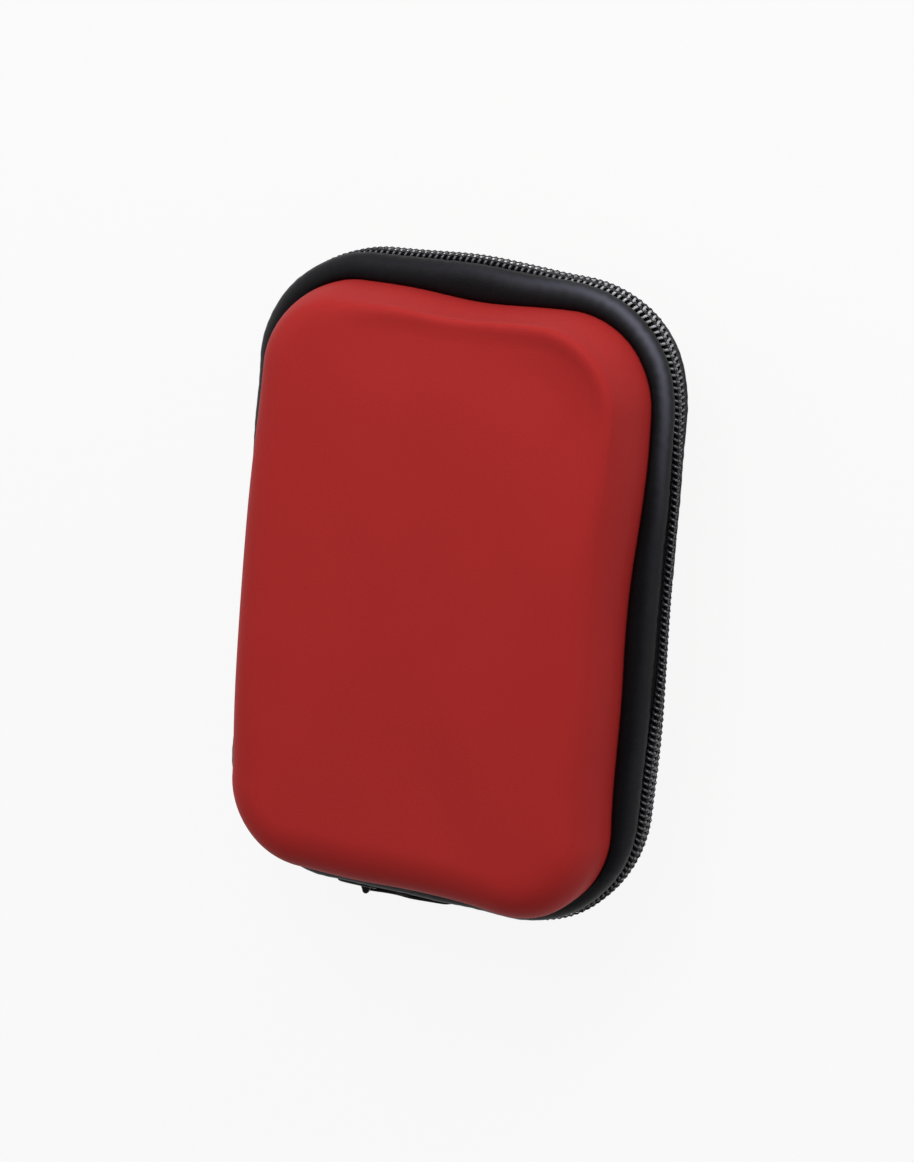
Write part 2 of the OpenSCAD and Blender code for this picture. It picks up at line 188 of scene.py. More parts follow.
# The lid's shoulder is squarer at the top and the right, where the edge of the face stands out by this
# much, and rounder at the bottom: millimetres, and the clock angles over which each begins and ends
SQUARE_TOP, TOP_SPAN = 6.5, ((12, 55), (94, 146))
SQUARE_RIGHT, RIGHT_SPAN = 1.8, ((-64, -20), TOP_SPAN[0])
ROUND_BOTTOM, BOTTOM_SPAN = 2.4, ((-150, -115), (-64, -40))
SQUARE_POWER = 5
# The faint valley pressed into the face along the top: its inset, its width towards the seam and towards
# the face, its depth, the clock angles over which it begins and ends, the shares of the dome's height
# over which it begins, and how much deeper it gets at the corner
VALLEY_INSET, VALLEY_OUTER, VALLEY_INNER, VALLEY_DEPTH = 13.6, 3.9, 8.5, 1.25
VALLEY_SPAN, VALLEY_HEIGHTS = ((14, 50), (98, 150)), (0.8, 0.98)
VALLEY_CORNER = [(48, 16, 0.45)]
# The base's shoulder is rounder all round, so that it hides behind the zip
ROUND_BASE = 2.5
# A dome's height counts up to this share, because the lid's crown rises past its flat face
TALLEST = 1.1
# The stretch where the chain is turned to face sideways: the clock angles over which the turn begins and
# ends, the insets and levels over which it fades in, its slope, and how far the chain stands out there
TURN_SPAN = ((-24, -8), (22, 34))
TURN_INSETS, TURN_LEVELS = (4, 2.3), (4.4, COIL_LEVEL)
TURN_SLOPE = 0.3
TURN_OUT = 0.35


def stray(points, side):
    """Moves points of one half outwards from the plain outline. The clock angle is that of a point once
    the case's height is squeezed to its width. The rim moves by ZIP_STRAYS, its far part by half of it,
    the skin and what lies inside it by SKIN_STRAYS, and the middle of the face stays. Where the chain is
    turned, it moves out by TURN_OUT plus TURN_SLOPE times the height over the zip's centre. On the lid,
    what lies over the seam also moves by SKIN_LEAN, the shoulder stands out by a power of its share of
    the dome's height, and the valley is a bell curve of the inset. The base's shoulder draws in by the
    square of its share of the height."""
    core = np.clip(points[..., :2], (RIM_R - HALF_W, RIM_R - HALF_H), (HALF_W - RIM_R, HALF_H - RIM_R))
    out = points[..., :2] - core
    away = np.linalg.norm(out, axis=-1)
    out = out / np.maximum(away, 1e-6)[..., None]
    inset, level = RIM_R - away, points[..., 2]
    clock = np.degrees(np.arctan2(points[..., 1] / HALF_H, points[..., 0] / HALF_W))
    height = np.clip((level - SEAM_LEVEL) / (HALF_DEPTH - SEAM_LEVEL), 0, TALLEST)
    rim_move = humps(clock, ZIP_STRAYS) * (1 - 0.5 * smooth_step(level, *HALF_LEVELS))
    skin_move = humps(clock, SKIN_STRAYS) + SKIN_PLUS
    if side == LID:
        skin_move = skin_move + (out * SKIN_LEAN).sum(-1)
        square = SQUARE_TOP * between(clock, *TOP_SPAN) + SQUARE_RIGHT * between(clock, *RIGHT_SPAN)
        square = (square - ROUND_BOTTOM * between(clock, *BOTTOM_SPAN)) * height**SQUARE_POWER
    else:
        skin_move = skin_move * BASE_SHARE
        square = -ROUND_BASE * height**2
    skin_move = skin_move * smooth_step(inset, *SKIN_FADE) + square * smooth_step(inset, *SHOULDER_FADE)
    move = rim_move + smooth_step(inset, *SKIN_INSETS) * (skin_move - rim_move)
    turned = between(clock, *TURN_SPAN) * smooth_step(inset, *TURN_INSETS)
    turned = turned * smooth_step(level, *TURN_LEVELS)
    move = move + turned * (TURN_OUT + TURN_SLOPE * side * level)
    moved = np.array(points, float)
    moved[..., :2] += out * move[..., None]
    if side == LID:
        depth = VALLEY_DEPTH * between(clock, *VALLEY_SPAN) + humps(clock, VALLEY_CORNER)
        beyond = inset - move - VALLEY_INSET
        valley = depth * np.exp(-(beyond / np.where(beyond < 0, VALLEY_OUTER, VALLEY_INNER)) ** 2)
        moved[..., 2] -= valley * smooth_step(height, *VALLEY_HEIGHTS)
    return moved


def shoulder(t, depth=0):
    """The shell's section, for t from 0 at the seam to 1 at the flat face: a quarter of a superellipse,
    moved into the case along its normal by depth. Returns (inset, level)."""
    e = 2 / SHOULDER_POWER
    a = np.clip(t, 1e-4, 1 - 1e-4) * math.pi / 2
    wide, high = FACE_INSET - WALL_INSET, HALF_DEPTH - SEAM_LEVEL
    inset = WALL_INSET + wide * (1 - np.cos(a) ** e)
    level = SEAM_LEVEL + high * np.sin(a) ** e
    slope = np.stack([wide * np.cos(a) ** (e - 1) * np.sin(a), high * np.sin(a) ** (e - 1) * np.cos(a)])
    slope = slope / np.linalg.norm(slope, axis=0)
    return inset + depth * slope[1], level - depth * slope[0]


def smooth_line(points, count):
    """A Catmull-Rom curve through points, (n, 2), sampled count times between neighbours."""
    points = np.array(points, float)
    p = np.concatenate([[2 * points[0] - points[1]], points, [2 * points[-1] - points[-2]]])
    t = evenly(1, count)[None, :, None]
    a, b, c, d = (p[i:len(p) - 3 + i][:, None] for i in range(4))
    line = 2 * b + (c - a) * t + (2 * a - 5 * b + 4 * c - d) * t**2 + (3 * b - a - 3 * c + d) * t**3
    return np.concatenate([line.reshape(-1, points.shape[1]) / 2, points[-1:]])


def ribbon(points, thickness):
    """The closed outline of a strip that follows a line of (inset, level) points: the line moved to each
    side along its normal by half the thickness, with both ends rounded by one middle point."""
    along = np.gradient(points, axis=0)
    along = along / np.linalg.norm(along, axis=1, keepdims=True)
    across = np.stack([-along[:, 1], along[:, 0]], -1) * thickness / 2
    tip = along[-1:] * thickness / 4
    tail = along[:1] * thickness / 4
    return np.concatenate([
        points + across, points[-1:] + tip, (points - across)[::-1], points[:1] - tail
    ])


def grid_faces(rows, columns, wrap_rows=False, wrap_columns=False):
    """The quads between neighbouring points of a grid, numbered row by row."""
    r, c = np.meshgrid(
        np.arange(rows if wrap_rows else rows - 1), np.arange(columns if wrap_columns else columns - 1),
        indexing="ij",
    )
    below, right = (r + 1) % rows, (c + 1) % columns
    quads = [r * columns + c, r * columns + right, below * columns + right, below * columns + c]
    return np.stack(quads, -1).reshape(-1, 4)


def tube_faces(rings, sides, closed_path=False):
    """The faces of closed rings that follow a path. An open path gets one face at each end."""
    end = np.arange(sides)[None]
    ends = [] if closed_path else [end, end + (rings - 1) * sides]
    return [grid_faces(rings, sides, closed_path, True)] + ends


def new_piece(name, points, faces, uv=None, around=None, sharp=50):
    """A mesh object. points are in millimetres and faces are arrays of point numbers. uv is the distance
    along and across the cloth, and around is the length after which along starts again."""
    mesh = bpy.data.meshes.new(name)
    points = np.reshape(points, (-1, 3)) * MM
    mesh.from_pydata(points.tolist(), [], [face for group in faces for face in group.tolist()])
    if uv is not None:
        corners = [np.reshape(uv, (-1, 2))[group] for group in faces]
        for c in corners if around else []:
            turned = np.ptp(c[..., 0], axis=1) > around / 2
            c[turned, :, 0] += np.where(c[turned, :, 0] < around / 2, around, 0)
        flat = np.concatenate([c.reshape(-1, 2) for c in corners])
        mesh.uv_layers.new(name="cloth").data.foreach_set("uv", flat.ravel())
    return finish_mesh(name, mesh, sharp)


def finish_mesh(name, mesh, sharp=50):
    """Turns the faces outwards, shades them smooth under the given angle and links the object."""
    work = bmesh.new()
    work.from_mesh(mesh)
    bmesh.ops.recalc_face_normals(work, faces=work.faces)
    work.to_mesh(mesh)
    work.free()
    mesh.polygons.foreach_set("use_smooth", [True] * len(mesh.polygons))
    mesh.set_sharp_from_angle(angle=math.radians(sharp))
    piece = bpy.data.objects.new(name, mesh)
    bpy.context.scene.collection.objects.link(piece)
    return piece


def put(points, side):
    """Points of one half, whose third number is the level, in the case's own frame."""
    placed = stray(np.array(points, float), side)
    placed[..., 2] = ZIP_Z + side * placed[..., 2]
    return placed


def sweep(name, side, s, sections, closed_path=False, radius=RIM_R, sharp=50):
    """A closed section carried along the rim. sections is (m, 2), or (n, m, 2) where it changes with the
    n distances s."""
    sections = np.broadcast_to(sections, (len(s),) + np.shape(sections)[-2:])
    points = rim(s[:, None], sections[..., 0], sections[..., 1], radius)
    steps = np.linalg.norm(np.diff(sections, axis=1, append=sections[:, :1]), axis=2)
    across = np.cumsum(steps, axis=1) - steps
    uv = np.stack([np.broadcast_to(s[:, None], across.shape), across], -1)
    return new_piece(name, put(points, side), tube_faces(*across.shape, closed_path), uv, AROUND, sharp)


def tube(name, side, s, inset, level, thickness, sides):
    """A round thread along the rim: circles round the centre line (s, inset, level)."""
    a = evenly(math.tau, sides)
    line = np.stack(np.broadcast_arrays(inset, level, s)[:2], -1)
    return sweep(name, side, s, line[:, None] + thickness / 2 * np.stack([np.cos(a), np.sin(a)], -1))


# Shells

# Shares of the way over the shoulder, closer together at the seam, and the sizes of the face's rings
SHOULDER_STEPS = np.linspace(0, 1, 36) ** 1.5
FACE_STEPS = np.linspace(1, 0, 13)[1:-1]

# How far the seam between band and skin strays inwards: millimetres, wavelengths and seed
DRIFT = 0.12, (96, 61, 40), 5


def seam_drift(s):
    """The seam's straying round the rim."""
    amount, lengths, seed = DRIFT
    return amount * ripple(s, lengths, seed)


def tray_rings(s, depth, foot, crown):
    """Rings of a shell from its foot to the middle of the face. The wall and the shoulder follow the
    section, moved in by depth. Over the face, the last ring shrinks towards the middle and rises by
    crown times (1 - share squared) squared."""
    drift = seam_drift(s)
    wall, top = WALL_INSET + depth, HALF_DEPTH - depth
    rings = [rim(s, wall + drift, level, SKIN_R) for level in np.linspace(foot, SEAM_LEVEL, 4)[:-1]]
    for t in SHOULDER_STEPS:
        inset, level = shoulder(t, depth)
        rings.append(rim(s, inset + drift * (1 - t) ** 2, level, SKIN_R))
    edge = rings[-1]
    for share in FACE_STEPS:
        ring = edge * [share, share, 1]
        ring[..., 2] = top + crown * (1 - share**2) ** 2
        rings.append(ring)
    return np.array(rings), np.array([0, 0, top + crown])


def unfolded(s, rings):
    """Where the points of rings, listed from the middle of the face outwards, lie in the flat cloth: on
    the face as they are, and past its edge further out by the length of the section."""
    edge = len(FACE_STEPS)
    steps = np.linalg.norm(np.diff(rings[edge:], axis=0, prepend=rings[edge:edge + 1]), axis=2)
    out = (rim(s, 0, 0) - rim(s, 1, 0))[:, :2]
    beyond = rings[edge, :, :2] + np.cumsum(steps, axis=0)[..., None] * out
    return np.concatenate([rings[:edge, :, :2], beyond])


def tray(name, side, depth, thickness, foot, crown=0, mouth=()):
    """A closed shell: outer rings up to a pole, and inner rings from a second pole back to the foot.
    mouth holds further (inset, level) points between the inner and the outer foot."""
    s = evenly(AROUND, 400)
    outer, top = tray_rings(s, depth, foot, crown)
    inner, under = tray_rings(s, depth + thickness, foot, crown)
    middle = np.array([rim(s, inset, level) for inset, level in mouth]).reshape(-1, len(s), 3)
    rings = np.concatenate([inner[::-1], middle, outer])
    k, n = rings.shape[:2]
    columns = np.arange(n)
    fans = [np.stack([np.full(n, k * n + pole), columns + row * n, (columns + 1) % n + row * n], -1)
            for pole, row in ((0, 0), (1, k - 1))]
    points = np.concatenate([rings.reshape(-1, 3), [under, top]])
    uv = [unfolded(s, inner[::-1]), middle[..., :2], unfolded(s, outer[::-1])[::-1], np.zeros((2, 2))]
    uv = np.concatenate([part.reshape(-1, 2) for part in uv])
    return new_piece(name, put(points, side), [grid_faces(k, n, False, True)] + fans, uv, sharp=60)


def cut_size(depth, foot):
    """Width, length and area in metres of the flat cut of a moulded cloth: the face plus the section's
    length on each side, with round corners."""
    section = np.stack(shoulder(np.linspace(0, 1, 60), depth), -1)
    girth = length_of(section) + SEAM_LEVEL - foot
    width, length = (2 * (reach - FACE_INSET + girth) * MM for reach in (HALF_W, HALF_H))
    corner = (girth + SKIN_R - FACE_INSET) * MM
    return (width, length), width * length - (4 - math.pi) * corner**2


# Padded rim bands

# The band's section, from the zip tape out over the roll and down into the seam: inset, level, and how
# far it follows the swell and the puckers. Then the middle of the roll and the hidden underside
ROLL = [
    (2.02, 4.7, 0, 0), (1.8, 4.3, 0, 0), (1.2, 4.2, 0.2, 0.6), (0.72, 4.5, 0.5, 1),
    (0.62, 5.15, 0.8, 0.9), (0.88, 6.2, 1, 0.5), (1.58, 7.25, 1, 0.3), (2.8, 8.1, 1, 0.2),
    (3.95, 8.55, 1, 0.2), (5.05, 8.7, 0.9, 0.3), (5.85, 8.55, 0.5, 0.6), (6.25, 8.15, 0.1, 0.4),
    (6.34, 7.4, 0, 0),
]
ROLL_MIDDLE = (3.4, 5.8)
ROLL_UNDER = [(6.2, 5.95), (4.2, 5.75), (2.02, 5.7)]
# Its swell and its puckers, in millimetres, with their wavelengths and seeds
SWELL = 0.12, (70, 43, 29, 17), 11
PUCKER = 0.05, (3.4, 5.2, 2.7), 23
# The inset from which the roll follows the seam's straying
DRIFT_INSET = 3
# How far the base's band is drawn in behind the coil at its lower edge, what that gains with each
# millimetre over a level, and the levels and the insets over which it comes in
BASE_DRAWN, DRAWN_GAIN, DRAWN_OVER = 0.4, 0.5, 4.5
DRAWN_LEVELS, DRAWN_INSETS = (4, 4.6), (5.2, 2.4)


def band_sections(s, side):
    """The band's section at each distance s. It rolls from the zip tape out over the rim and down into
    the seam beside the skin. The roll swells and slackens by ripple, and small puckers sit where the
    stitches hold its lower edge."""
    swell, pucker = (amount * ripple(s, lengths, seed + side)
                     for amount, lengths, seed in (SWELL, PUCKER))
    inset, level, soft, held = smooth_line(ROLL, 3).T
    share = np.clip((inset - DRIFT_INSET) / (ROLL[-1][0] - DRIFT_INSET), 0, 1) ** 1.5
    inset = inset + share * seam_drift(s)[:, None]
    line = np.stack(np.broadcast_arrays(inset, level), -1)
    out = (line - ROLL_MIDDLE) / np.linalg.norm(line - ROLL_MIDDLE, axis=2, keepdims=True)
    push = soft * swell[:, None] + held * pucker[:, None]
    outer = line + push[..., None] * out
    if side == BASE:
        inset, level = outer[..., 0], outer[..., 1]
        drawn = BASE_DRAWN * (1 + DRAWN_GAIN * (level - DRAWN_OVER)) * smooth_step(inset, *DRAWN_INSETS)
        outer[..., 0] += drawn * smooth_step(level, *DRAWN_LEVELS)
    return np.concatenate([outer, np.broadcast_to(ROLL_UNDER, (len(s), len(ROLL_UNDER), 2))], 1)


def rim_radius(sections):
    """Corner radius at each point of a section: the zip's outside, and the skin's at the seam."""
    return RIM_R + (SKIN_R - RIM_R) * np.clip(sections[..., 0] / WALL_INSET, 0, 1)


def rim_band(name, side):
    """The padded band, its section carried once round the rim."""
    s = evenly(AROUND, 1140)
    sections = band_sections(s, side)
    band = sweep(name, side, s, sections, True, rim_radius(sections), 70)
    return band


# Zip

# The coil's loops: steps and sides of the filament, the power that makes them fuller, and how much the
# filament is flattened and widened at its head
LOOP_STEPS, WIRE_SIDES = 16, 7
LOOP_POWER = 0.8
HEAD_FLATTER, HEAD_WIDER = 0.15, 0.06
# The sewing threads over the coil: their levels, inset, dip between turns, wander and thickness
THREAD_LEVELS = (1.35, 2.15)
THREAD_INSET, THREAD_DIP, THREAD_WANDER, THREAD_T = 0.14, 0.16, 0.1, 0.3
# The core cord inside the coil
CORD_INSET, CORD_LEVEL, CORD_T, CORD_STEP = 1.05, 1.3, 1.0, 1.2


def zip_line(step, start=ZIP_FROM):
    """Distances along the zip, a step apart, from start to as far from its other end."""
    return np.arange(start, AROUND - start, step)


def fuller(wave):
    """A wave from -1 to 1 with fuller crests: its size to the power of LOOP_POWER, with its sign."""
    return np.sign(wave) * np.abs(wave) ** LOOP_POWER


def coil(name, side, shift):
    """One half of the coil, a wound filament. With the turn angle a, the loop's (inset, level) is a
    superellipse, and its distance along the zip grows by one pitch a turn. Its cross-section is a
    circle round that line, widened along the chain at the head."""
    turns = int((AROUND - 2 * ZIP_FROM) / PITCH) - 1
    a = np.linspace(0, math.tau * turns, LOOP_STEPS * turns + 1)[:, None]
    phi = evenly(math.tau, WIRE_SIDES)
    low, high = WIRE / 2 - HEAD_OVER, COIL_LEVEL - WIRE / 2
    near, far = WIRE / 2, COIL_T - WIRE / 2
    level = (high + low) / 2 - (high - low) / 2 * fuller(np.cos(a))
    inset = (far + near) / 2 - (far - near) / 2 * fuller(np.sin(a))
    head = np.clip(np.cos(a), 0, 1) ** 4
    ring = WIRE / 2 * np.cos(phi) * (1 - HEAD_FLATTER * head)
    along = PITCH * (0.5 + shift + a / math.tau) + WIRE / 2 * np.sin(phi) * (1 + HEAD_WIDER * head)
    points = rim(ZIP_FROM + along, inset - ring * np.sin(a), level - ring * np.cos(a))
    return new_piece(name, put(points, side), tube_faces(*points.shape[:2]), sharp=80)


def coil_threads(name, side):
    """The two rows of sewing thread that hold the coil: each rides up over every turn and dips between
    two, by the cube of a cosine of the distance along the zip, and wanders by a sine of it."""
    s = zip_line(PITCH / 8, ZIP_FROM + 1)
    beat = math.tau * (s - ZIP_FROM) / PITCH
    inset = THREAD_INSET - THREAD_DIP * np.cos(beat) ** 3
    return [tube(name + "_" + "ab"[row], side, s, inset, level + THREAD_WANDER * np.sin(beat / 2 + row),
                 THREAD_T, 5)
            for row, level in enumerate(THREAD_LEVELS)]


def zip_tape(name, side):
    """The tape's straight section, carried along the zip."""
    s = np.linspace(TAPE_FROM, AROUND - TAPE_FROM, 620)
    level = np.linspace(TAPE_LOW, TAPE_HIGH, 14)
    line = np.stack([np.full(len(level), TAPE_INSET + TAPE_T / 2), level], -1)
    return sweep(name, side, s, ribbon(line, TAPE_T))


def stitches(name, centre, along, out, length, thickness):
    """A row of stitches. Each is a thread that lies along its line and dives at both ends: a tube of 6
    sides and 7 rings, arched by a cosine and drawn thin at its ends."""
    rings, sides = 7, 6
    t = np.linspace(-1, 1, rings)
    a = evenly(math.tau, sides)
    arch = thickness * (0.7 * np.cos(t * math.pi / 2) - 0.45)
    girth = thickness / 2 * (1 - 0.55 * np.abs(t) ** 3)
    centre, along, out = (v[:, None] for v in (centre, along, out))
    line = centre + along * (t * length / 2)[:, None] + out * arch[:, None]
    ring = np.cross(out, along) * np.cos(a)[:, None] + out * np.sin(a)[:, None]
    points = line[:, :, None] + ring[:, None] * girth[:, None, None]
    shifts = (np.arange(len(points)) * rings * sides)[:, None, None]
    faces = [(group + shifts).reshape(-1, group.shape[1]) for group in tube_faces(rings, sides)]
    return new_piece(name, points, faces, sharp=80)


def rim_stitches(name, side, s, inset, level, toward, length, thickness):
    """Stitches along the rim at (inset, level), whose thread lies on the side that toward, a pair of
    inset and level, points to."""
    nudge = 0.05
    here = put(rim(s, inset, level), side)
    ahead = put(rim(s + nudge, inset, level), side)
    lifted = put(rim(s, inset + nudge * toward[0], level + nudge * toward[1]), side)
    along, out = (v / np.linalg.norm(v, axis=1, keepdims=True) for v in (ahead - here, lifted - here))
    return stitches(name, here, along, out, length, thickness)


# Cloth and elastic

def elastic(name, reach, y, z, width, thickness, up, rise, ribs, rib_depth):
    """A ribbed strip across the case from -reach to reach. Its middle line goes up, or down where up is
    -1, by rise times the sine of the way along. Both faces have ribs side by side, each a cosine, and
    thin towards their edges."""
    t = np.linspace(0, 1, 60)[:, None]
    w = np.linspace(-0.5, 0.5, 6 * ribs + 1)
    edge = np.sqrt(np.clip(1 - np.abs(2 * w) ** 12, 0, 1))
    height = edge * (thickness / 2 - rib_depth / 2 * (1 - np.cos(math.tau * ribs * (w + 0.5))))
    across = width * np.concatenate([w, w[-2:0:-1]])
    lift = rise * np.sin(math.pi * t) + np.concatenate([height, -height[-2:0:-1]])
    points = np.stack(np.broadcast_arrays(reach * (2 * t - 1), y + up * across, z + up * lift), -1)
    uv = np.stack(np.broadcast_arrays(2 * reach * t, across), -1)
    return new_piece(name, points, tube_faces(*points.shape[:2]), uv, sharp=70)


def inside(x, y, inset):
    """How far points lie inside the rim's outline moved in by inset; negative outside it."""
    past_x, past_y = np.abs(x) - (HALF_W - RIM_R), np.abs(y) - (HALF_H - RIM_R)
    return RIM_R - inset - np.hypot(np.maximum(past_x, 0), np.maximum(past_y, 0))


# The net: its thickness, the distance between its holes, its threads, how far it bellies, the least
# distance of a cell's middle from the lining, and how far the cells reach under the hem. The belly is
# one cosine over this half width, times one over this length round a middle that lies this far down
NET_T, NET_PITCH, NET_THREAD, NET_BELLY = 0.35, 3.0, 0.75, 0.9
NET_MARGIN, NET_UNDER_HEM = 0.9, 1.2
BELLY_WIDE, BELLY_LONG, BELLY_DOWN = 44, 40, 28


def net(name):
    """A knitted net of hexagons in staggered rows: each cell is a ring of 12 quads between its outer
    hexagon and a round hole, neighbours share their outer points, and the sheet bellies by a cosine.
    Returns the piece and the area of its threads."""
    step = NET_PITCH * math.sin(math.pi / 3)
    rows, columns = int(HALF_H / step) + 1, int(HALF_W / NET_PITCH) + 1
    j, i = (g.ravel() for g in np.mgrid[-rows:rows + 1, -columns:columns + 1])
    x, y = (i + 0.5 * (j % 2)) * NET_PITCH, j * step
    kept = (inside(x, y, INNER_INSET) > NET_MARGIN) & (y < HEM_LOW + NET_UNDER_HEM)
    k = np.arange(12)
    a = np.radians(30 * k + 30)
    reach = NET_PITCH / 2 / np.cos(np.radians(30) * (k % 2 == 0))
    hole = (NET_PITCH - NET_THREAD) / 2 * np.where(k % 2 == 0, 1.09, 1)
    ring = np.stack([np.stack([r * np.cos(a), r * np.sin(a)], -1) for r in (reach, hole)])
    cells = ring + np.stack([x[kept], y[kept]], -1)[:, None, None]
    flat = cells.reshape(-1, 2)
    belly = NET_BELLY * np.cos(np.clip(flat[:, 0] / BELLY_WIDE, -1, 1) * math.pi / 2)
    belly = belly * np.cos((flat[:, 1] + BELLY_DOWN) / BELLY_LONG)
    points = put(np.column_stack([flat, NET_LEVEL + NET_T / 2 - belly]), LID)
    quad = np.stack([k, (k + 1) % 12, (k + 1) % 12 + 12, k + 12], -1)
    faces = (quad + (np.arange(len(cells)) * 24)[:, None, None]).reshape(-1, 4)
    piece = new_piece(name, points, [faces], flat)
    work = bmesh.new()
    work.from_mesh(piece.data)
    bmesh.ops.remove_doubles(work, verts=work.verts, dist=0.02 * MM)
    bmesh.ops.recalc_face_normals(work, faces=work.faces)
    work.to_mesh(piece.data)
    work.free()
    threads = sum(f.area for f in piece.data.polygons)
    thick = piece.modifiers.new("thick", "SOLIDIFY")
    thick.thickness, thick.offset = NET_T * MM, 0
    return piece, threads


# Slider

def at_slider(points):
    """From the slider's own axes, along the chain, towards the lid and outwards, to the case's frame."""
    x, y, z = np.moveaxis(np.asarray(points, float), -1, 0)
    return np.stack([SLIDER_X + x, -HALF_H - z, ZIP_Z + y], -1)


def plate(outlines, thickness, edge, turn):
    """A flat plate with rounded edges. The first outline is its rim and the others are its holes: a
    filled curve, thickened both ways and bevelled by edge. turn places its points."""
    curve = bpy.data.curves.new("plate", "CURVE")
    curve.dimensions, curve.fill_mode = "2D", "BOTH"
    curve.extrude, curve.bevel_depth = thickness / 2 - edge, edge
    curve.bevel_resolution, curve.offset = 2, -edge
    for outline in outlines:
        spline = curve.splines.new("POLY")
        spline.points.add(len(outline) - 1)
        flat = np.column_stack([outline, np.zeros(len(outline)), np.ones(len(outline))])
        spline.points.foreach_set("co", flat.ravel())
        spline.use_cyclic_u = True
    holder = bpy.data.objects.new("plate", curve)
    bpy.context.scene.collection.objects.link(holder)
    made = bpy.data.meshes.new_from_object(holder.evaluated_get(bpy.context.evaluated_depsgraph_get()))
    bpy.data.objects.remove(holder)
    points = np.empty(len(made.vertices) * 3)
    made.vertices.foreach_get("co", points)
    made.vertices.foreach_set("co", (turn(points.reshape(-1, 3)) * MM).ravel())
    return made


def joined(name, meshes):
    """One object from several meshes, each merged at its own doubles."""
    work = bmesh.new()
    for mesh in meshes:
        work.from_mesh(mesh)
    bmesh.ops.remove_doubles(work, verts=work.verts, dist=0.002 * MM)
    whole = bpy.data.meshes.new(name)
    work.to_mesh(whole)
    work.free()
    return finish_mesh(name, whole, 40)


def rounded(corners, radius, steps=6):
    """A polygon with its corners rounded: each corner gives way to an arc-like curve between two points
    on its sides, from the square of the way along."""
    corners = np.array(corners, float)
    t = np.linspace(0, 1, steps)[:, None]
    out = []
    for before, here, after in zip(np.roll(corners, 1, 0), corners, np.roll(corners, -1, 0)):
        a, b = before - here, after - here
        reach = min(radius, np.linalg.norm(a) / 2.05, np.linalg.norm(b) / 2.05)
        p = here + a / np.linalg.norm(a) * reach
        q = here + b / np.linalg.norm(b) * reach
        out.append((1 - t) ** 2 * p + 2 * t * (1 - t) * here + t**2 * q)
    return np.concatenate(out)


def arc(x, y, radius, angles):
    """Points round (x, y) at the given angles."""
    return np.stack([x + radius * np.cos(angles), y + radius * np.sin(angles)], -1)


def circle(x, y, radius):
    """Points once round (x, y)."""
    return arc(x, y, radius, evenly(math.tau, 24))


# The slider: half of its length and of its flat stretch, half its width and how far that draws in at
# its ends, the top and underside of its upper plate, and its flanges' inside and lower edge
SLIDER_HALF, SLIDER_FLAT = 5, 1.5
SLIDER_W, SLIDER_DRAW = 3.9, 0.7
SLIDER_TOP, SLIDER_UNDERSIDE = 0.9, 0.45
FLANGE_IN, FLANGE_LOW = 3.0, -1.6
# Its section across, in shares of the half width: the channel, where the flange starts, and its foot
CHANNEL_SHARE, FLANGE_SHARE, FOOT_SHARE = 0.74, 0.72, 0.8
# How far the upper plate rises in its middle and falls at its sides. At its mouths, from a distance
# along the chain on, it dips by an amount that moves only what lies over a height
PLATE_RISE, PLATE_FALL = 0.12, 0.15
MOUTH_FROM, MOUTH_DIP, MOUTH_OVER = 4.2, 0.25, 0.5
# The lower plate and the post: thickness, place and how much narrower the plate is; the post's ends
LOWER_T, LOWER_AT, LOWER_NARROWER = 0.7, -3.65, 0.5
POST_T, POST_AT = 3.6, -1.7
POST_FROM, POST_TO, POST_HALF = -4.4, -2, 0.2
# The ears: distance from the middle, thickness, radius of the head, and a foot's place beside the pin
EAR_AT, EAR_T, EAR_R = 2.3, 0.8, 0.85
EAR_FOOT = (1.35, 0.75)


def slider_width(x):
    """Half of the slider's width along the chain: past the flat stretch in its middle, each side draws
    in by the square of the way to the end."""
    past = np.clip((np.abs(x) - SLIDER_FLAT) / (SLIDER_HALF - SLIDER_FLAT), 0, 1)
    return SLIDER_W - SLIDER_DRAW * past**2


def slider_shell():
    """The upper plate with its two side flanges: a section like a flat arch, carried along the chain. At
    both mouths the plate dips and its width draws in."""
    x = SLIDER_HALF * np.sin(np.linspace(-1, 1, 25) * math.pi / 2)[:, None]
    top = [(-1, SLIDER_TOP - PLATE_FALL), (0, SLIDER_TOP + PLATE_RISE), (1, SLIDER_TOP - PLATE_FALL)]
    channel = [(FOOT_SHARE, FLANGE_LOW), (CHANNEL_SHARE, SLIDER_UNDERSIDE),
               (-CHANNEL_SHARE, SLIDER_UNDERSIDE), (-FOOT_SHARE, FLANGE_LOW)]
    share, z = rounded([(-1, FLANGE_LOW), *top, (1, FLANGE_LOW), *channel], 0.5, 5).T
    flange = np.where(np.abs(share) > FLANGE_SHARE, np.abs(share) - CHANNEL_SHARE, 0) * np.sign(share)
    y = np.clip(share / CHANNEL_SHARE, -1, 1) * FLANGE_IN
    y = y + flange * (slider_width(x) - FLANGE_IN) / (1 - CHANNEL_SHARE)
    dip = MOUTH_DIP * np.clip((np.abs(x) - MOUTH_FROM) / (SLIDER_HALF - MOUTH_FROM), 0, 1) ** 2
    points = np.stack(np.broadcast_arrays(x, y, z - dip * (z > MOUTH_OVER)), -1)
    shell = new_piece("slider_shell", at_slider(points), tube_faces(*points.shape[:2]), sharp=45)
    soft = shell.modifiers.new("soft_edges", "BEVEL")
    soft.width, soft.segments, soft.limit_method = 0.12 * MM, 2, "ANGLE"
    soft.angle_limit = math.radians(50)
    return shell


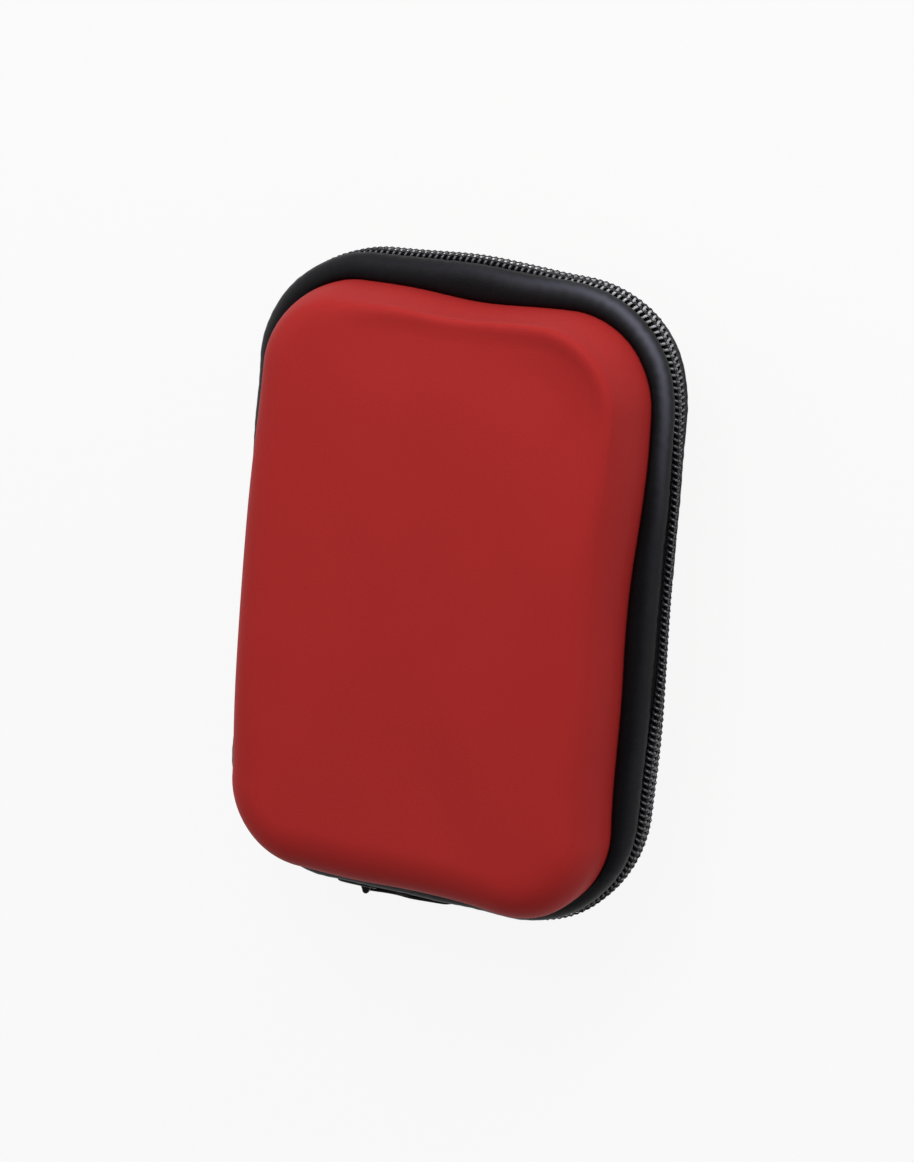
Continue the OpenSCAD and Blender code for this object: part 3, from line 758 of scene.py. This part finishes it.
def slider_under():
    """The lower plate inside the case and the thin post that joins it to the upper one."""
    x = np.linspace(-SLIDER_HALF, SLIDER_HALF, 21)
    wide = slider_width(x) - LOWER_NARROWER
    outline = np.concatenate([np.column_stack([x, wide]), np.column_stack([x, -wide])[::-1]])
    low = plate([outline], LOWER_T, 0.2, lambda p: at_slider(p + [0, 0, LOWER_AT]))
    foot = [(POST_FROM, -POST_HALF), (POST_TO, -POST_HALF), (POST_TO, POST_HALF), (POST_FROM, POST_HALF)]
    post = plate([rounded(foot, 0.15)], POST_T, 0.05, lambda p: at_slider(p + [0, 0, POST_AT]))
    return joined("slider_under", [low, post])


def slider_ears():
    """Two ears that hold the pin: upright plates with a round head."""
    pin = PIN_X - SLIDER_X
    head = arc(pin, PIN_OUT, EAR_R, np.linspace(math.pi, 0, 13))
    foot = [(pin + side * EAR_FOOT[0], EAR_FOOT[1]) for side in (1, -1)]
    ears = [plate([np.concatenate([head, foot])], EAR_T, 0.16,
                  lambda p: at_slider(np.stack([p[:, 0], p[:, 2] + side * EAR_AT, p[:, 1]], -1)))
            for side in (-1, 1)]
    return joined("slider_ears", ears)


# The pull: the distance of its eye from the pin, the radius of its end, the thickness of its plate, over
# its raised rims and of its knuckle, the radii of the cord hole, of the rim round it and of the knuckle
# outside and inside, and half its outline: distance from the pin and half width
PULL_EYE, PULL_END = 19.5, 2.5
PULL_T, RAISED_T, KNUCKLE_T = 0.8, 1.05, 3.5
CORD_HOLE_R, EYELET_RADII, KNUCKLE_RADII = 1.05, (1.7, 1.02), (0.75, 0.41)
PULL_SIDE = [(0.3, 1.5), (1.6, 1.5), (4.5, 1.3), (7.5, 1.45), (10, 2.1), (12.5, 2.5), (19.4, 2.5)]
# The panel that its raised rim frames, outside and inside
PANEL_OUTSIDE = [(11.4, 1.2), (16.6, 1.6), (16.6, -1.6), (11.4, -1.2)]
PANEL_INSIDE = [(12.2, 0.6), (15.9, 0.95), (15.9, -0.95), (12.2, -0.6)]
# At rest it leans so far down from the pin that its end lies this far out from the zip's line
PULL_END_OUT = 0.65
PULL_LEAN = math.asin((PIN_OUT - PULL_END_OUT) / (PULL_EYE + PULL_END))


def pull_place(p):
    """From the pull's own axes, away from the pin, across and out of its face, to the case's frame."""
    c, s = math.cos(PULL_LEAN), math.sin(PULL_LEAN)
    x, y, z = p.T
    return at_slider(np.stack([PIN_X - SLIDER_X + c * x + s * z, y, PIN_OUT - s * x + c * z], -1))


def pull():
    """The pull: a waisted plate with a cord hole, raised rims on both faces and a knuckle on the pin."""
    tip = arc(PULL_EYE, 0, PULL_END, np.linspace(math.pi / 2, -math.pi / 2, 13))
    side = smooth_line(PULL_SIDE, 4)
    outline = np.concatenate([side, tip, side[::-1] * [1, -1]])
    body = plate([outline, circle(PULL_EYE, 0, CORD_HOLE_R)], PULL_T, 0.25, pull_place)
    panel = plate([rounded(PANEL_OUTSIDE, 1), rounded(PANEL_INSIDE, 0.6)], RAISED_T, 0.15, pull_place)
    eyelet = plate([circle(PULL_EYE, 0, r) for r in EYELET_RADII], RAISED_T, 0.15, pull_place)
    knuckle = plate([circle(0, 0, r) for r in KNUCKLE_RADII], KNUCKLE_T, 0.12,
                    lambda p: pull_place(np.stack([p[:, 0], p[:, 2], p[:, 1]], -1)))
    return joined("zip_pull", [body, panel, eyelet, knuckle])


# Materials

def linear(r, g, b):
    """A colour of the screen, from 0 to 255, as a linear one."""
    c = np.array([r, g, b]) / 255
    return (*np.where(c <= 0.04045, c / 12.92, ((c + 0.055) / 1.055) ** 2.4), 1)


class Value:
    """A socket in a finish's nodes. Arithmetic on it adds Math nodes."""

    def __init__(self, finish, socket):
        self.finish, self.socket = finish, socket

    def __add__(self, other):
        return self.finish.maths("ADD", self, other)

    def __mul__(self, other):
        return self.finish.maths("MULTIPLY", self, other)

    __radd__, __rmul__ = __add__, __mul__

    def __sub__(self, other):
        return self.finish.maths("SUBTRACT", self, other)

    def __rsub__(self, other):
        return self.finish.maths("SUBTRACT", other, self)

    def __truediv__(self, other):
        return self.finish.maths("DIVIDE", self, other)

    def __rtruediv__(self, other):
        return self.finish.maths("DIVIDE", other, self)

    def __abs__(self):
        return self.finish.maths("ABSOLUTE", self)


class Finish:
    """A material or a world and its nodes. node() adds any node: settings first, then the sockets'
    values."""

    def __init__(self, name, kind="materials"):
        self.owner = getattr(bpy.data, kind).new(name)
        self.owner.use_nodes = True
        self.tree = self.owner.node_tree
        self.tree.nodes.clear()

    def node(self, kind, sockets=(), out=0, **settings):
        made = self.tree.nodes.new(kind)
        for setting, value in settings.items():
            setattr(made, setting, value)
        for key, value in dict(sockets).items():
            if isinstance(value, Value):
                self.tree.links.new(value.socket, made.inputs[key])
            else:
                made.inputs[key].default_value = value
        return Value(self, made.outputs[out])

    def maths(self, operation, *values):
        """One Math node on values and numbers."""
        return self.node("ShaderNodeMath", enumerate(values), operation=operation)

    def place(self):
        """The place on the piece, in the case's own frame and in metres."""
        return self.node("ShaderNodeTexCoord", out="Object")

    def split(self, vector):
        """The three numbers of a vector."""
        parts = self.node("ShaderNodeSeparateXYZ", {0: vector})
        return [Value(self, socket) for socket in parts.socket.node.outputs]

    def cloth(self):
        """Millimetres along and across the cloth."""
        return self.split(self.node("ShaderNodeUVMap", uv_map="cloth"))[:2]

    def noise(self, size, detail=2):
        """Noise from 0 to 1 whose patches are about size millimetres across."""
        return self.node("ShaderNodeTexNoise", {
            "Vector": self.place(), "Scale": 1 / (size * MM), "Detail": detail, "Roughness": 0.55,
        })

    def cells(self, size):
        """The distance from the nearest cell's middle, where cells are about size millimetres wide."""
        return self.node("ShaderNodeTexVoronoi", {"Vector": self.place(), "Scale": 1 / (size * MM)})

    def wave(self, along, pitch):
        """A sine of a distance, from 0 to 1, once a pitch."""
        return 0.5 + 0.5 * self.maths("SINE", along * (math.tau / pitch))

    def bell(self, away):
        """e to the power of minus the square of away."""
        return self.maths("POWER", math.e, 0 - away * away)

    def clamped(self, value):
        """A value held between 0 and 1."""
        return self.maths("MINIMUM", self.maths("MAXIMUM", value, 0.0), 1.0)

    def knit(self, column, course):
        """Knitted cloth: columns of slanted stitches. A stitch is a wave along the columns, shifted by
        the distance from the column's middle, times the ridge, which falls by the square of that
        distance. Returns stitch and ridge."""
        along, across = self.cloth()
        near = abs(self.maths("FRACT", along / column) - 0.5)
        ridge = 1 - near * near * 3
        return self.wave(across + near * (1.4 * column), course) * ridge, ridge

    def mix(self, share, first, second):
        """A colour between two."""
        return self.node("ShaderNodeMix", {0: share, 6: first, 7: second}, out=2, data_type="RGBA")

    def done(self, colour, roughness, height, depth, **fixed):
        """The surface: colour and roughness may vary, height makes the relief, depth millimetres deep,
        and what is the same all over goes on the shader's own sockets."""
        relief = self.node("ShaderNodeBump", {"Height": height, "Distance": depth * MM, "Strength": 1.0})
        sockets = {"Base Color": colour, "Roughness": roughness, "Normal": relief}
        sockets.update({name.replace("_", " "): value for name, value in fixed.items()})
        self.show(self.node("ShaderNodeBsdfPrincipled", sockets))
        return self.owner

    def show(self, surface, kind="ShaderNodeOutputMaterial"):
        """Joins a surface to the output."""
        end = self.tree.nodes.new(kind)
        self.tree.links.new(surface.socket, end.inputs["Surface"])


# The band's painted grey sheen along its crest: where it lies across the cloth and its width, and along
# the rim the middle of the corner over the zip's long side, where it is palest, and the width of that
# stretch
SHEEN_ACROSS, SHEEN_WIDE = 5, 1.3
SHEEN_ALONG, SHEEN_LONG = 1.5 * RUN_Y + RUN_X + 2.5 * CORNER, 30
# The coil's painted glint spot: its middle and its width
GLINT_X, GLINT_Y, GLINT_WIDE = 37, 71, 16


def red_cloth():
    """Smooth coated cloth, moulded over foam: satin red with a fine grain and slow changes of tone."""
    f = Finish("red_coated_cloth")
    broad, grain, pores = f.noise(34), f.noise(0.5, 3), f.cells(0.35)
    colour = f.mix(broad * 0.7 + grain * 0.3, linear(154, 38, 37), linear(170, 45, 43))
    return f.done(colour, 0.44 + 0.1 * broad + 0.08 * grain, grain * 0.6 + pores * 0.4, 0.03,
                  Specular_IOR_Level=0.035)


def tricot():
    """Close knitted lining with a fuzzy surface."""
    f = Finish("tricot_lining")
    stitch, ridge = f.knit(0.9, 0.8)
    height = stitch * 0.6 + ridge * 0.4
    fuzz = f.noise(0.9, 3)
    colour = f.mix(height * 0.5 + fuzz * 0.5, linear(24, 24, 26), linear(60, 60, 64))
    return f.done(colour, 0.8 + 0.1 * f.noise(30), height + fuzz * 0.25, 0.12,
                  Specular_IOR_Level=0.2, Sheen_Weight=0.2)


def band_cloth():
    """The band's padded cloth: close dark knit, with a painted grey sheen along its outer crest, most at
    the corner over the zip's long side."""
    f = Finish("padded_band_cloth")
    height = f.knit(0.5, 0.42)[0] * 0.6 + 0.4
    fuzz = f.noise(0.9, 3)
    along, across = f.cloth()
    # Painted sheen: a pale grey mask along the band's outer crest, strongest at the corner over the
    # zip's long side, lightens the base colour
    corner = f.bell((along - SHEEN_ALONG) / SHEEN_LONG)
    painted_sheen = f.bell((across - SHEEN_ACROSS) / SHEEN_WIDE) * (0.02 + 0.8 * corner + 0.1 * f.noise(12))
    colour = f.mix(height * 0.5 + fuzz * 0.5, linear(6, 5, 7), linear(13, 12, 15))
    colour = f.mix(f.clamped(painted_sheen), colour, linear(84, 84, 96))
    return f.done(colour, 0.42 + 0.1 * fuzz, height + fuzz * 0.25, 0.04, Specular_IOR_Level=0.12)


def woven(name, dark, light, pitch, roughness, depth=0.1, twill=0.0, **fixed):
    """Woven tape: two crossing waves. With twill, each row of threads is shifted from the last."""
    f = Finish(name)
    along, across = f.cloth()
    warp, weft = f.wave(across + along * twill, pitch), f.wave(along, pitch * 0.8)
    height = warp * 0.6 + warp * weft * 0.4
    fuzz = f.noise(0.7, 3)
    colour = f.mix(height * 0.6 + fuzz * 0.4, linear(*dark), linear(*light))
    return f.done(colour, roughness + 0.12 * fuzz, height + fuzz * 0.3, depth, **fixed)


def nylon():
    """Smooth nylon filament of the coil, in two slow tones, with painted pale glints round the corner
    over the zip's long side."""
    f = Finish("coil_nylon")
    broad, fine = f.noise(20), f.noise(0.4)
    x, y, _ = f.split(f.place())
    # Painted glints: a pale mask round this spot at the corner lightens the coil's base colour
    painted_glint = f.bell((x / MM - GLINT_X) / GLINT_WIDE) * f.bell((y / MM - GLINT_Y) / GLINT_WIDE)
    colour = f.mix(broad, linear(46, 44, 50), linear(68, 65, 71))
    colour = f.mix(painted_glint * (0.3 + 0.55 * fine), colour, linear(215, 214, 220))
    return f.done(colour, 0.3 + 0.1 * fine, fine, 0.01, Specular_IOR_Level=1.0)


def thread(name, tone):
    """Twisted sewing thread: slanted waves on the object's own axes."""
    f = Finish(name)
    x, y, z = f.split(f.place())
    ply = f.wave((x + y + z) / MM, 0.28)
    colour = f.mix(ply, linear(*[0.6 * t for t in tone]), linear(*tone))
    return f.done(colour, 0.62 + 0.1 * ply, ply, 0.03)


def enamel():
    """Black enamel of the slider: satin, with small scuffs that let a greyer tone through."""
    f = Finish("black_enamel")
    scuff = f.clamped((f.noise(1.6, 4) - 0.56) * 9)
    colour = f.mix(scuff * 0.6, linear(26, 26, 28), linear(64, 64, 66))
    return f.done(colour, 0.3 + 0.2 * scuff, f.noise(0.6), 0.012, Specular_IOR_Level=0.5,
                  Coat_Roughness=0.2)


def foam():
    """Moulded foam: matte, with closed cells."""
    f = Finish("moulded_foam")
    cells = f.cells(0.6)
    colour = f.mix(cells, linear(44, 44, 46), linear(62, 62, 64))
    return f.done(colour, 0.85 + 0.1 * cells, cells, 0.06)


RED = red_cloth()
BAND = band_cloth()
LINING = tricot()
TAPE = woven("zip_tape_weave", (6, 6, 7), (17, 16, 19), 0.55, 0.75, twill=0.6, Specular_IOR_Level=0.15)
BINDING = woven("binding_tape", (16, 16, 18), (40, 40, 43), 0.7, 0.78)
SPINE = woven("spine_cloth_weave", (14, 13, 16), (34, 33, 37), 0.6, 0.7)
ELASTIC = woven("elastic_weave", (24, 24, 27), (62, 62, 67), 0.8, 0.78, depth=0.12)
NET = thread("net_thread", (50, 50, 54))
THREAD = thread("sewing_thread", (46, 45, 50))
DARK_THREAD = thread("zip_thread", (20, 19, 23))
NYLON = nylon()
ENAMEL = enamel()
FOAM = foam()


def colour_in(piece, finish):
    """Gives a piece one finish alone."""
    piece.data.materials.clear()
    piece.data.materials.append(finish)


def dress(piece, body, finish, slot, *nodes):
    """Gives a piece its finish and body, and hides the CAD nodes that it stands for. slot is not used.
    """
    colour_in(piece, finish)
    if nodes:
        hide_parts(*nodes)
    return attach(piece, body) if body else piece


# Both halves

# The cloth binding over the edge of the mouth: its line, thickness and the inset of its middle
BINDING_LINE = [(4.4, 3.88), (6, 3.84), (8, 3.82), (10.2, 3.85), (11.0, 4.1), (11.25, 4.8), (11.28, 5.9),
                (11.3, 7.5)]
BINDING_T, BINDING_INSET = 0.5, 7
# The stitches: the distance from one to the next, the level of the zip's seam, the inset and level of
# the mouth's two rows, and the length and thickness of each seam's stitches
STITCH_STEP = 2.9
ZIP_SEAM_LEVEL = 3.6
MOUTH_SEAMS = [(5.2, 3.6), (9.6, 3.58)]
ZIP_STITCH, MOUTH_STITCH = (2.3, 0.34), (2.2, 0.32)


def half(side, body, old):
    """Skin, foam, lining, band, zip and mouth binding of one half. Its pieces are named for its body,
    and old begins the names of the CAD nodes that they stand for."""
    def add(piece, finish, slot, part=None):
        return dress(piece, body, finish, slot, *([old + part] if part else []))

    crown = LID_CROWN if side == LID else 0
    skin = add(tray(body + "_skin", side, 0, SKIN_T, SKIN_FOOT, crown), RED, "cover", "_cover")
    add(tray(body + "_foam", side, FOAM_DEPTH, FOAM_T, SKIN_FOOT, mouth=FLANGE), FOAM, "foam", "_core")
    lining = tray(body + "_lining", side, LINING_DEPTH, LINING_T, MOUTH_LEVEL)
    add(lining, LINING, "lining", "_lining")
    for cloth, depth, foot in ((skin, 0, SKIN_FOOT), (lining, LINING_DEPTH, MOUTH_LEVEL)):
        flat, area = cut_size(depth, foot)
    add(rim_band(body + "_rim_band", side), BAND, "band", "_rim_band")

    add(coil(body + "_coil", side, 0.0 if side == BASE else 0.5), NYLON, "coil", "_coil")
    s = zip_line(CORD_STEP, ZIP_FROM + 1)
    add(tube(body + "_coil_core", side, s, CORD_INSET, CORD_LEVEL, CORD_T, 8), TAPE, "zip_tape")
    for row in coil_threads(body + "_coil_thread", side):
        add(row, THREAD, "zip_tape")
    add(zip_tape(body + "_zip_tape", side), TAPE, "zip_tape", "_zip_tape")
    s = zip_line(STITCH_STEP, TAPE_FROM + 2)
    seam = (TAPE_INSET, ZIP_SEAM_LEVEL, (-1, 0), *ZIP_STITCH)
    add(rim_stitches(body + "_zip_stitches", side, s, *seam), DARK_THREAD, "zip_tape")
    colour_in(frame["nodes"][old + "_end_stops"], NYLON)

    strip = ribbon(smooth_line(BINDING_LINE, 4), BINDING_T)
    binding = sweep(body + "_inner_binding", side, evenly(AROUND, 500), strip, True)
    add(binding, BINDING, "binding", "_inner_binding")
    (AROUND - math.tau * BINDING_INSET) * MM
    for row, (inset, level) in enumerate(MOUTH_SEAMS):
        s = np.arange(0, AROUND - 1, STITCH_STEP * (1 + 0.12 * row))
        name = f"{body}_mouth_stitches_{row + 1}"
        add(rim_stitches(name, side, s, inset, level, (0, -1), *MOUTH_STITCH), THREAD, "binding")


half(LID, "lid", "front")
half(BASE, "base", "rear")

# Spine: one cloth from the base's flange over the hinge line to the lid's
SPINE_HALF = np.array([(0.32, 0), (0.45, 0.9), (0.95, 2), (1.9, 3.2), (2.45, 4.4), (2.5, 5.5)])
SPINE_T, SPINE_GAP = 0.55, 0.4
BEND_REACH = 4.5
spine_line = smooth_line(np.concatenate([SPINE_HALF[:0:-1] * [1, -1], SPINE_HALF]), 4)
spine_reach = TAPE_FROM - SPINE_GAP
spine_s = AROUND + np.linspace(-spine_reach, spine_reach, 110)
spine = sweep("spine_cloth", LID, spine_s, ribbon(spine_line, SPINE_T))
dress(spine, None, SPINE, "spine", "front_spine_strip", "rear_spine_strip")
2 * spine_reach * MM
(ZIP_Z - BEND_REACH) * MM
(ZIP_Z + BEND_REACH) * MM
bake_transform(spine)

# Net pocket in the lid, with an elastic hem and a sewn edge tape. The lines of the tape and of its seam
# give the inset from the lining and the level over the net
HEM_T, HEM_RISE, HEM_RIBS, HEM_RIB_DEPTH, HEM_GAP = 1.2, 0.9, 6, 0.12, 0.3
EDGE_LINE = [(0.25, 2.4), (0.3, 0.9), (0.8, -0.15), (2.2, -0.35), (3.6, -0.45)]
EDGE_SEAM = (2.6, -0.62)
EDGE_T, EDGE_STITCH, EDGE_STITCH_STEP = 0.4, (2.1, 0.3), 2.8
pocket, thread_area = net("pocket_mesh")
dress(pocket, "lid", NET, "net", "pocket_net")
hem_reach = HALF_W - INNER_INSET - HEM_GAP
hem = elastic("pocket_elastic_hem", hem_reach, (HEM_LOW + HEM_HIGH) / 2, ZIP_Z + NET_LEVEL + HEM_GAP,
              HEM_HIGH - HEM_LOW, HEM_T, -1, HEM_RISE, HEM_RIBS, HEM_RIB_DEPTH)
dress(hem, "lid", ELASTIC, "elastic", "pocket_hem")
# The tape goes once round the lid's mouth, and its ends all but meet at the middle of the zip's side
edge_s = np.linspace(AROUND / 700 - AROUND / 2, AROUND / 2, 420)
lining_edge = (INNER_INSET, NET_LEVEL)
edge_strip = ribbon(smooth_line(np.add(EDGE_LINE, lining_edge), 4), EDGE_T)
edge_tape = sweep("pocket_edge_tape", LID, edge_s, edge_strip)
dress(edge_tape, "lid", BINDING, "binding", "pocket_binding")
tape_s = np.arange(edge_s[0] + 2, edge_s[-1] - 1, EDGE_STITCH_STEP)
seam = np.add(EDGE_SEAM, lining_edge)
sewn = rim_stitches("pocket_stitches", LID, tape_s, *seam, (0, -1), *EDGE_STITCH)
dress(sewn, "lid", THREAD, "binding")
2 * hem_reach * MM
(HALF_H - INNER_INSET + HEM_LOW) * MM

# Elastic strap in the base, sewn down at each end
STRAP_T, STRAP_RISE, STRAP_RIBS, STRAP_RIB_DEPTH = 1.0, 0.5, 14, 0.14
TACK_MARGIN, TACK_LENGTH, TACK_STEP, TACK_OVER = 1.6, 4, 2.4, 0.08
TACK_STITCH = (2.0, 0.34)
strap = elastic("base_elastic_strap", STRAP_REACH, 0, STRAP_Z - STRAP_T / 2, 2 * STRAP_HALF, STRAP_T, 1,
                STRAP_RISE, STRAP_RIBS, STRAP_RIB_DEPTH)
dress(strap, "base", ELASTIC, "elastic", "elastic_strap")


def at_height(points, z):
    """Flat points or directions with z as their third number."""
    return np.column_stack([points, np.full(len(points), float(z))])


def tack(name, turn):
    """Stitches over one end of the strap: two rows across it, joined by two slanted ones. turn is -1 at
    the left end."""
    far, wide = STRAP_REACH - TACK_MARGIN, STRAP_HALF - TACK_MARGIN
    near = far - TACK_LENGTH
    path = [(far, -wide), (far, wide), (near, -wide), (near, wide), (far, -wide)]
    corners = np.array(path) * [turn, 1]
    centres, ways = [], []
    for start, end in zip(corners[:-1], corners[1:]):
        length = np.linalg.norm(end - start)
        count = int(length / TACK_STEP)
        centres.append(start + (end - start) * ((np.arange(count) + 0.5) / count)[:, None])
        ways.append(np.tile((end - start) / length, (count, 1)))
    centre, way = np.concatenate(centres), np.concatenate(ways)
    return stitches(name, at_height(centre, STRAP_Z + TACK_OVER), at_height(way, 0),
                    at_height(np.zeros_like(way), 1), *TACK_STITCH)


dress(tack("strap_tack_left", -1), "base", THREAD, "elastic")
dress(tack("strap_tack_right", 1), "base", THREAD, "elastic", "strap_tacks")

# Slider and pull
dress(slider_shell(), "slider", ENAMEL, "slider_metal", "slider_body")
dress(slider_under(), "slider", ENAMEL, "slider_metal")
dress(slider_ears(), "slider", ENAMEL, "slider_metal")
dress(pull(), "pull", ENAMEL, "slider_metal", "pull_tab")
colour_in(frame["nodes"]["bail_pin"], ENAMEL)


# Studio

WHITE = (1, 1, 1, 1)
FLOOR_GREY = (0.6, 0.6, 0.6, 1)
FLOOR_REACH, FLOOR_DROP = 6000, 0.02
# How much of its white the floor shows to the camera, how much of the sky a reflection loses overhead,
# and the heights between which it does
FLOOR_WHITE = 0.9
SKY_LOSS, SKY_LOW, SKY_HIGH = 0.92, 0.02, 0.3


def ray_share(finish, amount):
    """amount where the camera, a reflection or a clear piece looks, and 0 where light is gathered."""
    camera_ray, glossy, through = (finish.node("ShaderNodeLightPath", out=ray) for ray in
                                   ("Is Camera Ray", "Is Glossy Ray", "Is Transmission Ray"))
    return finish.clamped(camera_ray + glossy + through) * amount


def floor():
    """A pale floor. Looked at directly it is nearly white, and it keeps the case's shadow."""
    corners = FLOOR_REACH * np.array([(-1, -1, 0), (1, -1, 0), (1, 1, 0), (-1, 1, 0)])
    made = new_piece("floor", corners - [0, 0, FLOOR_DROP], [np.arange(4)[None]])
    f = Finish("floor_white")
    pale = f.node("ShaderNodeBsdfDiffuse", {"Color": FLOOR_GREY})
    white = f.node("ShaderNodeEmission", {"Color": WHITE, "Strength": 1.0})
    f.show(f.node("ShaderNodeMixShader", {0: ray_share(f, FLOOR_WHITE), 1: pale, 2: white}))
    made.data.materials.append(f.owner)


def sky(ambient):
    """White where it is looked at and, in reflections, white low down and dim higher up; it lights the
    case at ambient."""
    f = Finish("studio", "worlds")
    bpy.context.scene.world = f.owner
    height = f.split(f.node("ShaderNodeTexCoord", out="Generated"))[2]
    overhead = f.node("ShaderNodeMapRange", {"Value": height, "From Min": SKY_LOW, "From Max": SKY_HIGH},
                      interpolation_type="SMOOTHSTEP")
    seen = 1 - f.node("ShaderNodeLightPath", out="Is Glossy Ray") * overhead * SKY_LOSS
    strength = ambient + ray_share(f, 1.0) * (seen - ambient)
    shade = f.node("ShaderNodeBackground", {"Color": WHITE, "Strength": strength})
    f.show(shade, "ShaderNodeOutputWorld")


def lamp(name, direction, distance, size, power):
    """A square soft lamp that looks at the case from a direction. Size and distance are in metres."""
    light = bpy.data.lights.new(name, "AREA")
    light.size, light.energy = size, power
    holder = bpy.data.objects.new(name, light)
    target = Vector((0, 0, ZIP_Z * MM))
    way = Vector(direction).normalized()
    holder.location = target + way * distance
    holder.rotation_euler = way.to_track_quat("Z", "Y").to_euler()
    bpy.context.scene.collection.objects.link(holder)


floor()
sky(0.28)
lamp("key", (-0.02, 0.64, 0.78), 0.95, 0.5, 4.95)
lamp("corner_light", (0.3, 0.86, 0.4), 0.9, 0.3, 2.6)
lamp("left_fill", (-0.9, 0.15, 0.4), 1.1, 0.7, 2.7)
lamp("right_fill", (0.95, 0.1, 0.3), 1.0, 0.5, 1.8)


# Camera, from a fit to the outlines of rim and face
PHOTO_W, PHOTO_H = 914, 1162
FOCAL_PIXELS = 3414
SENSOR = 36
TILT, TURN, ROLL_ANGLE = 0.2395, -0.3808, -0.08643
ASIDE, ABOVE, AWAY = 0.4073, 0.7008, 784.3

axes = Matrix.Rotation(ROLL_ANGLE, 3, "Z") @ Matrix.Rotation(TILT, 3, "X")
axes = axes @ Matrix.Rotation(TURN, 3, "Y")
place = axes.transposed() @ Vector((ASIDE, ABOVE, AWAY)) + Vector((0, 0, ZIP_Z))
camera = bpy.data.objects.new("camera", bpy.data.cameras.new("camera"))
camera.matrix_world = Matrix.Translation(place * MM) @ axes.transposed().to_4x4()
camera.data.sensor_width = SENSOR
camera.data.lens = FOCAL_PIXELS / max(PHOTO_W, PHOTO_H) * SENSOR
bpy.context.scene.collection.objects.link(camera)
bpy.context.scene.camera = camera
bpy.context.scene.view_settings.view_transform = "Standard"
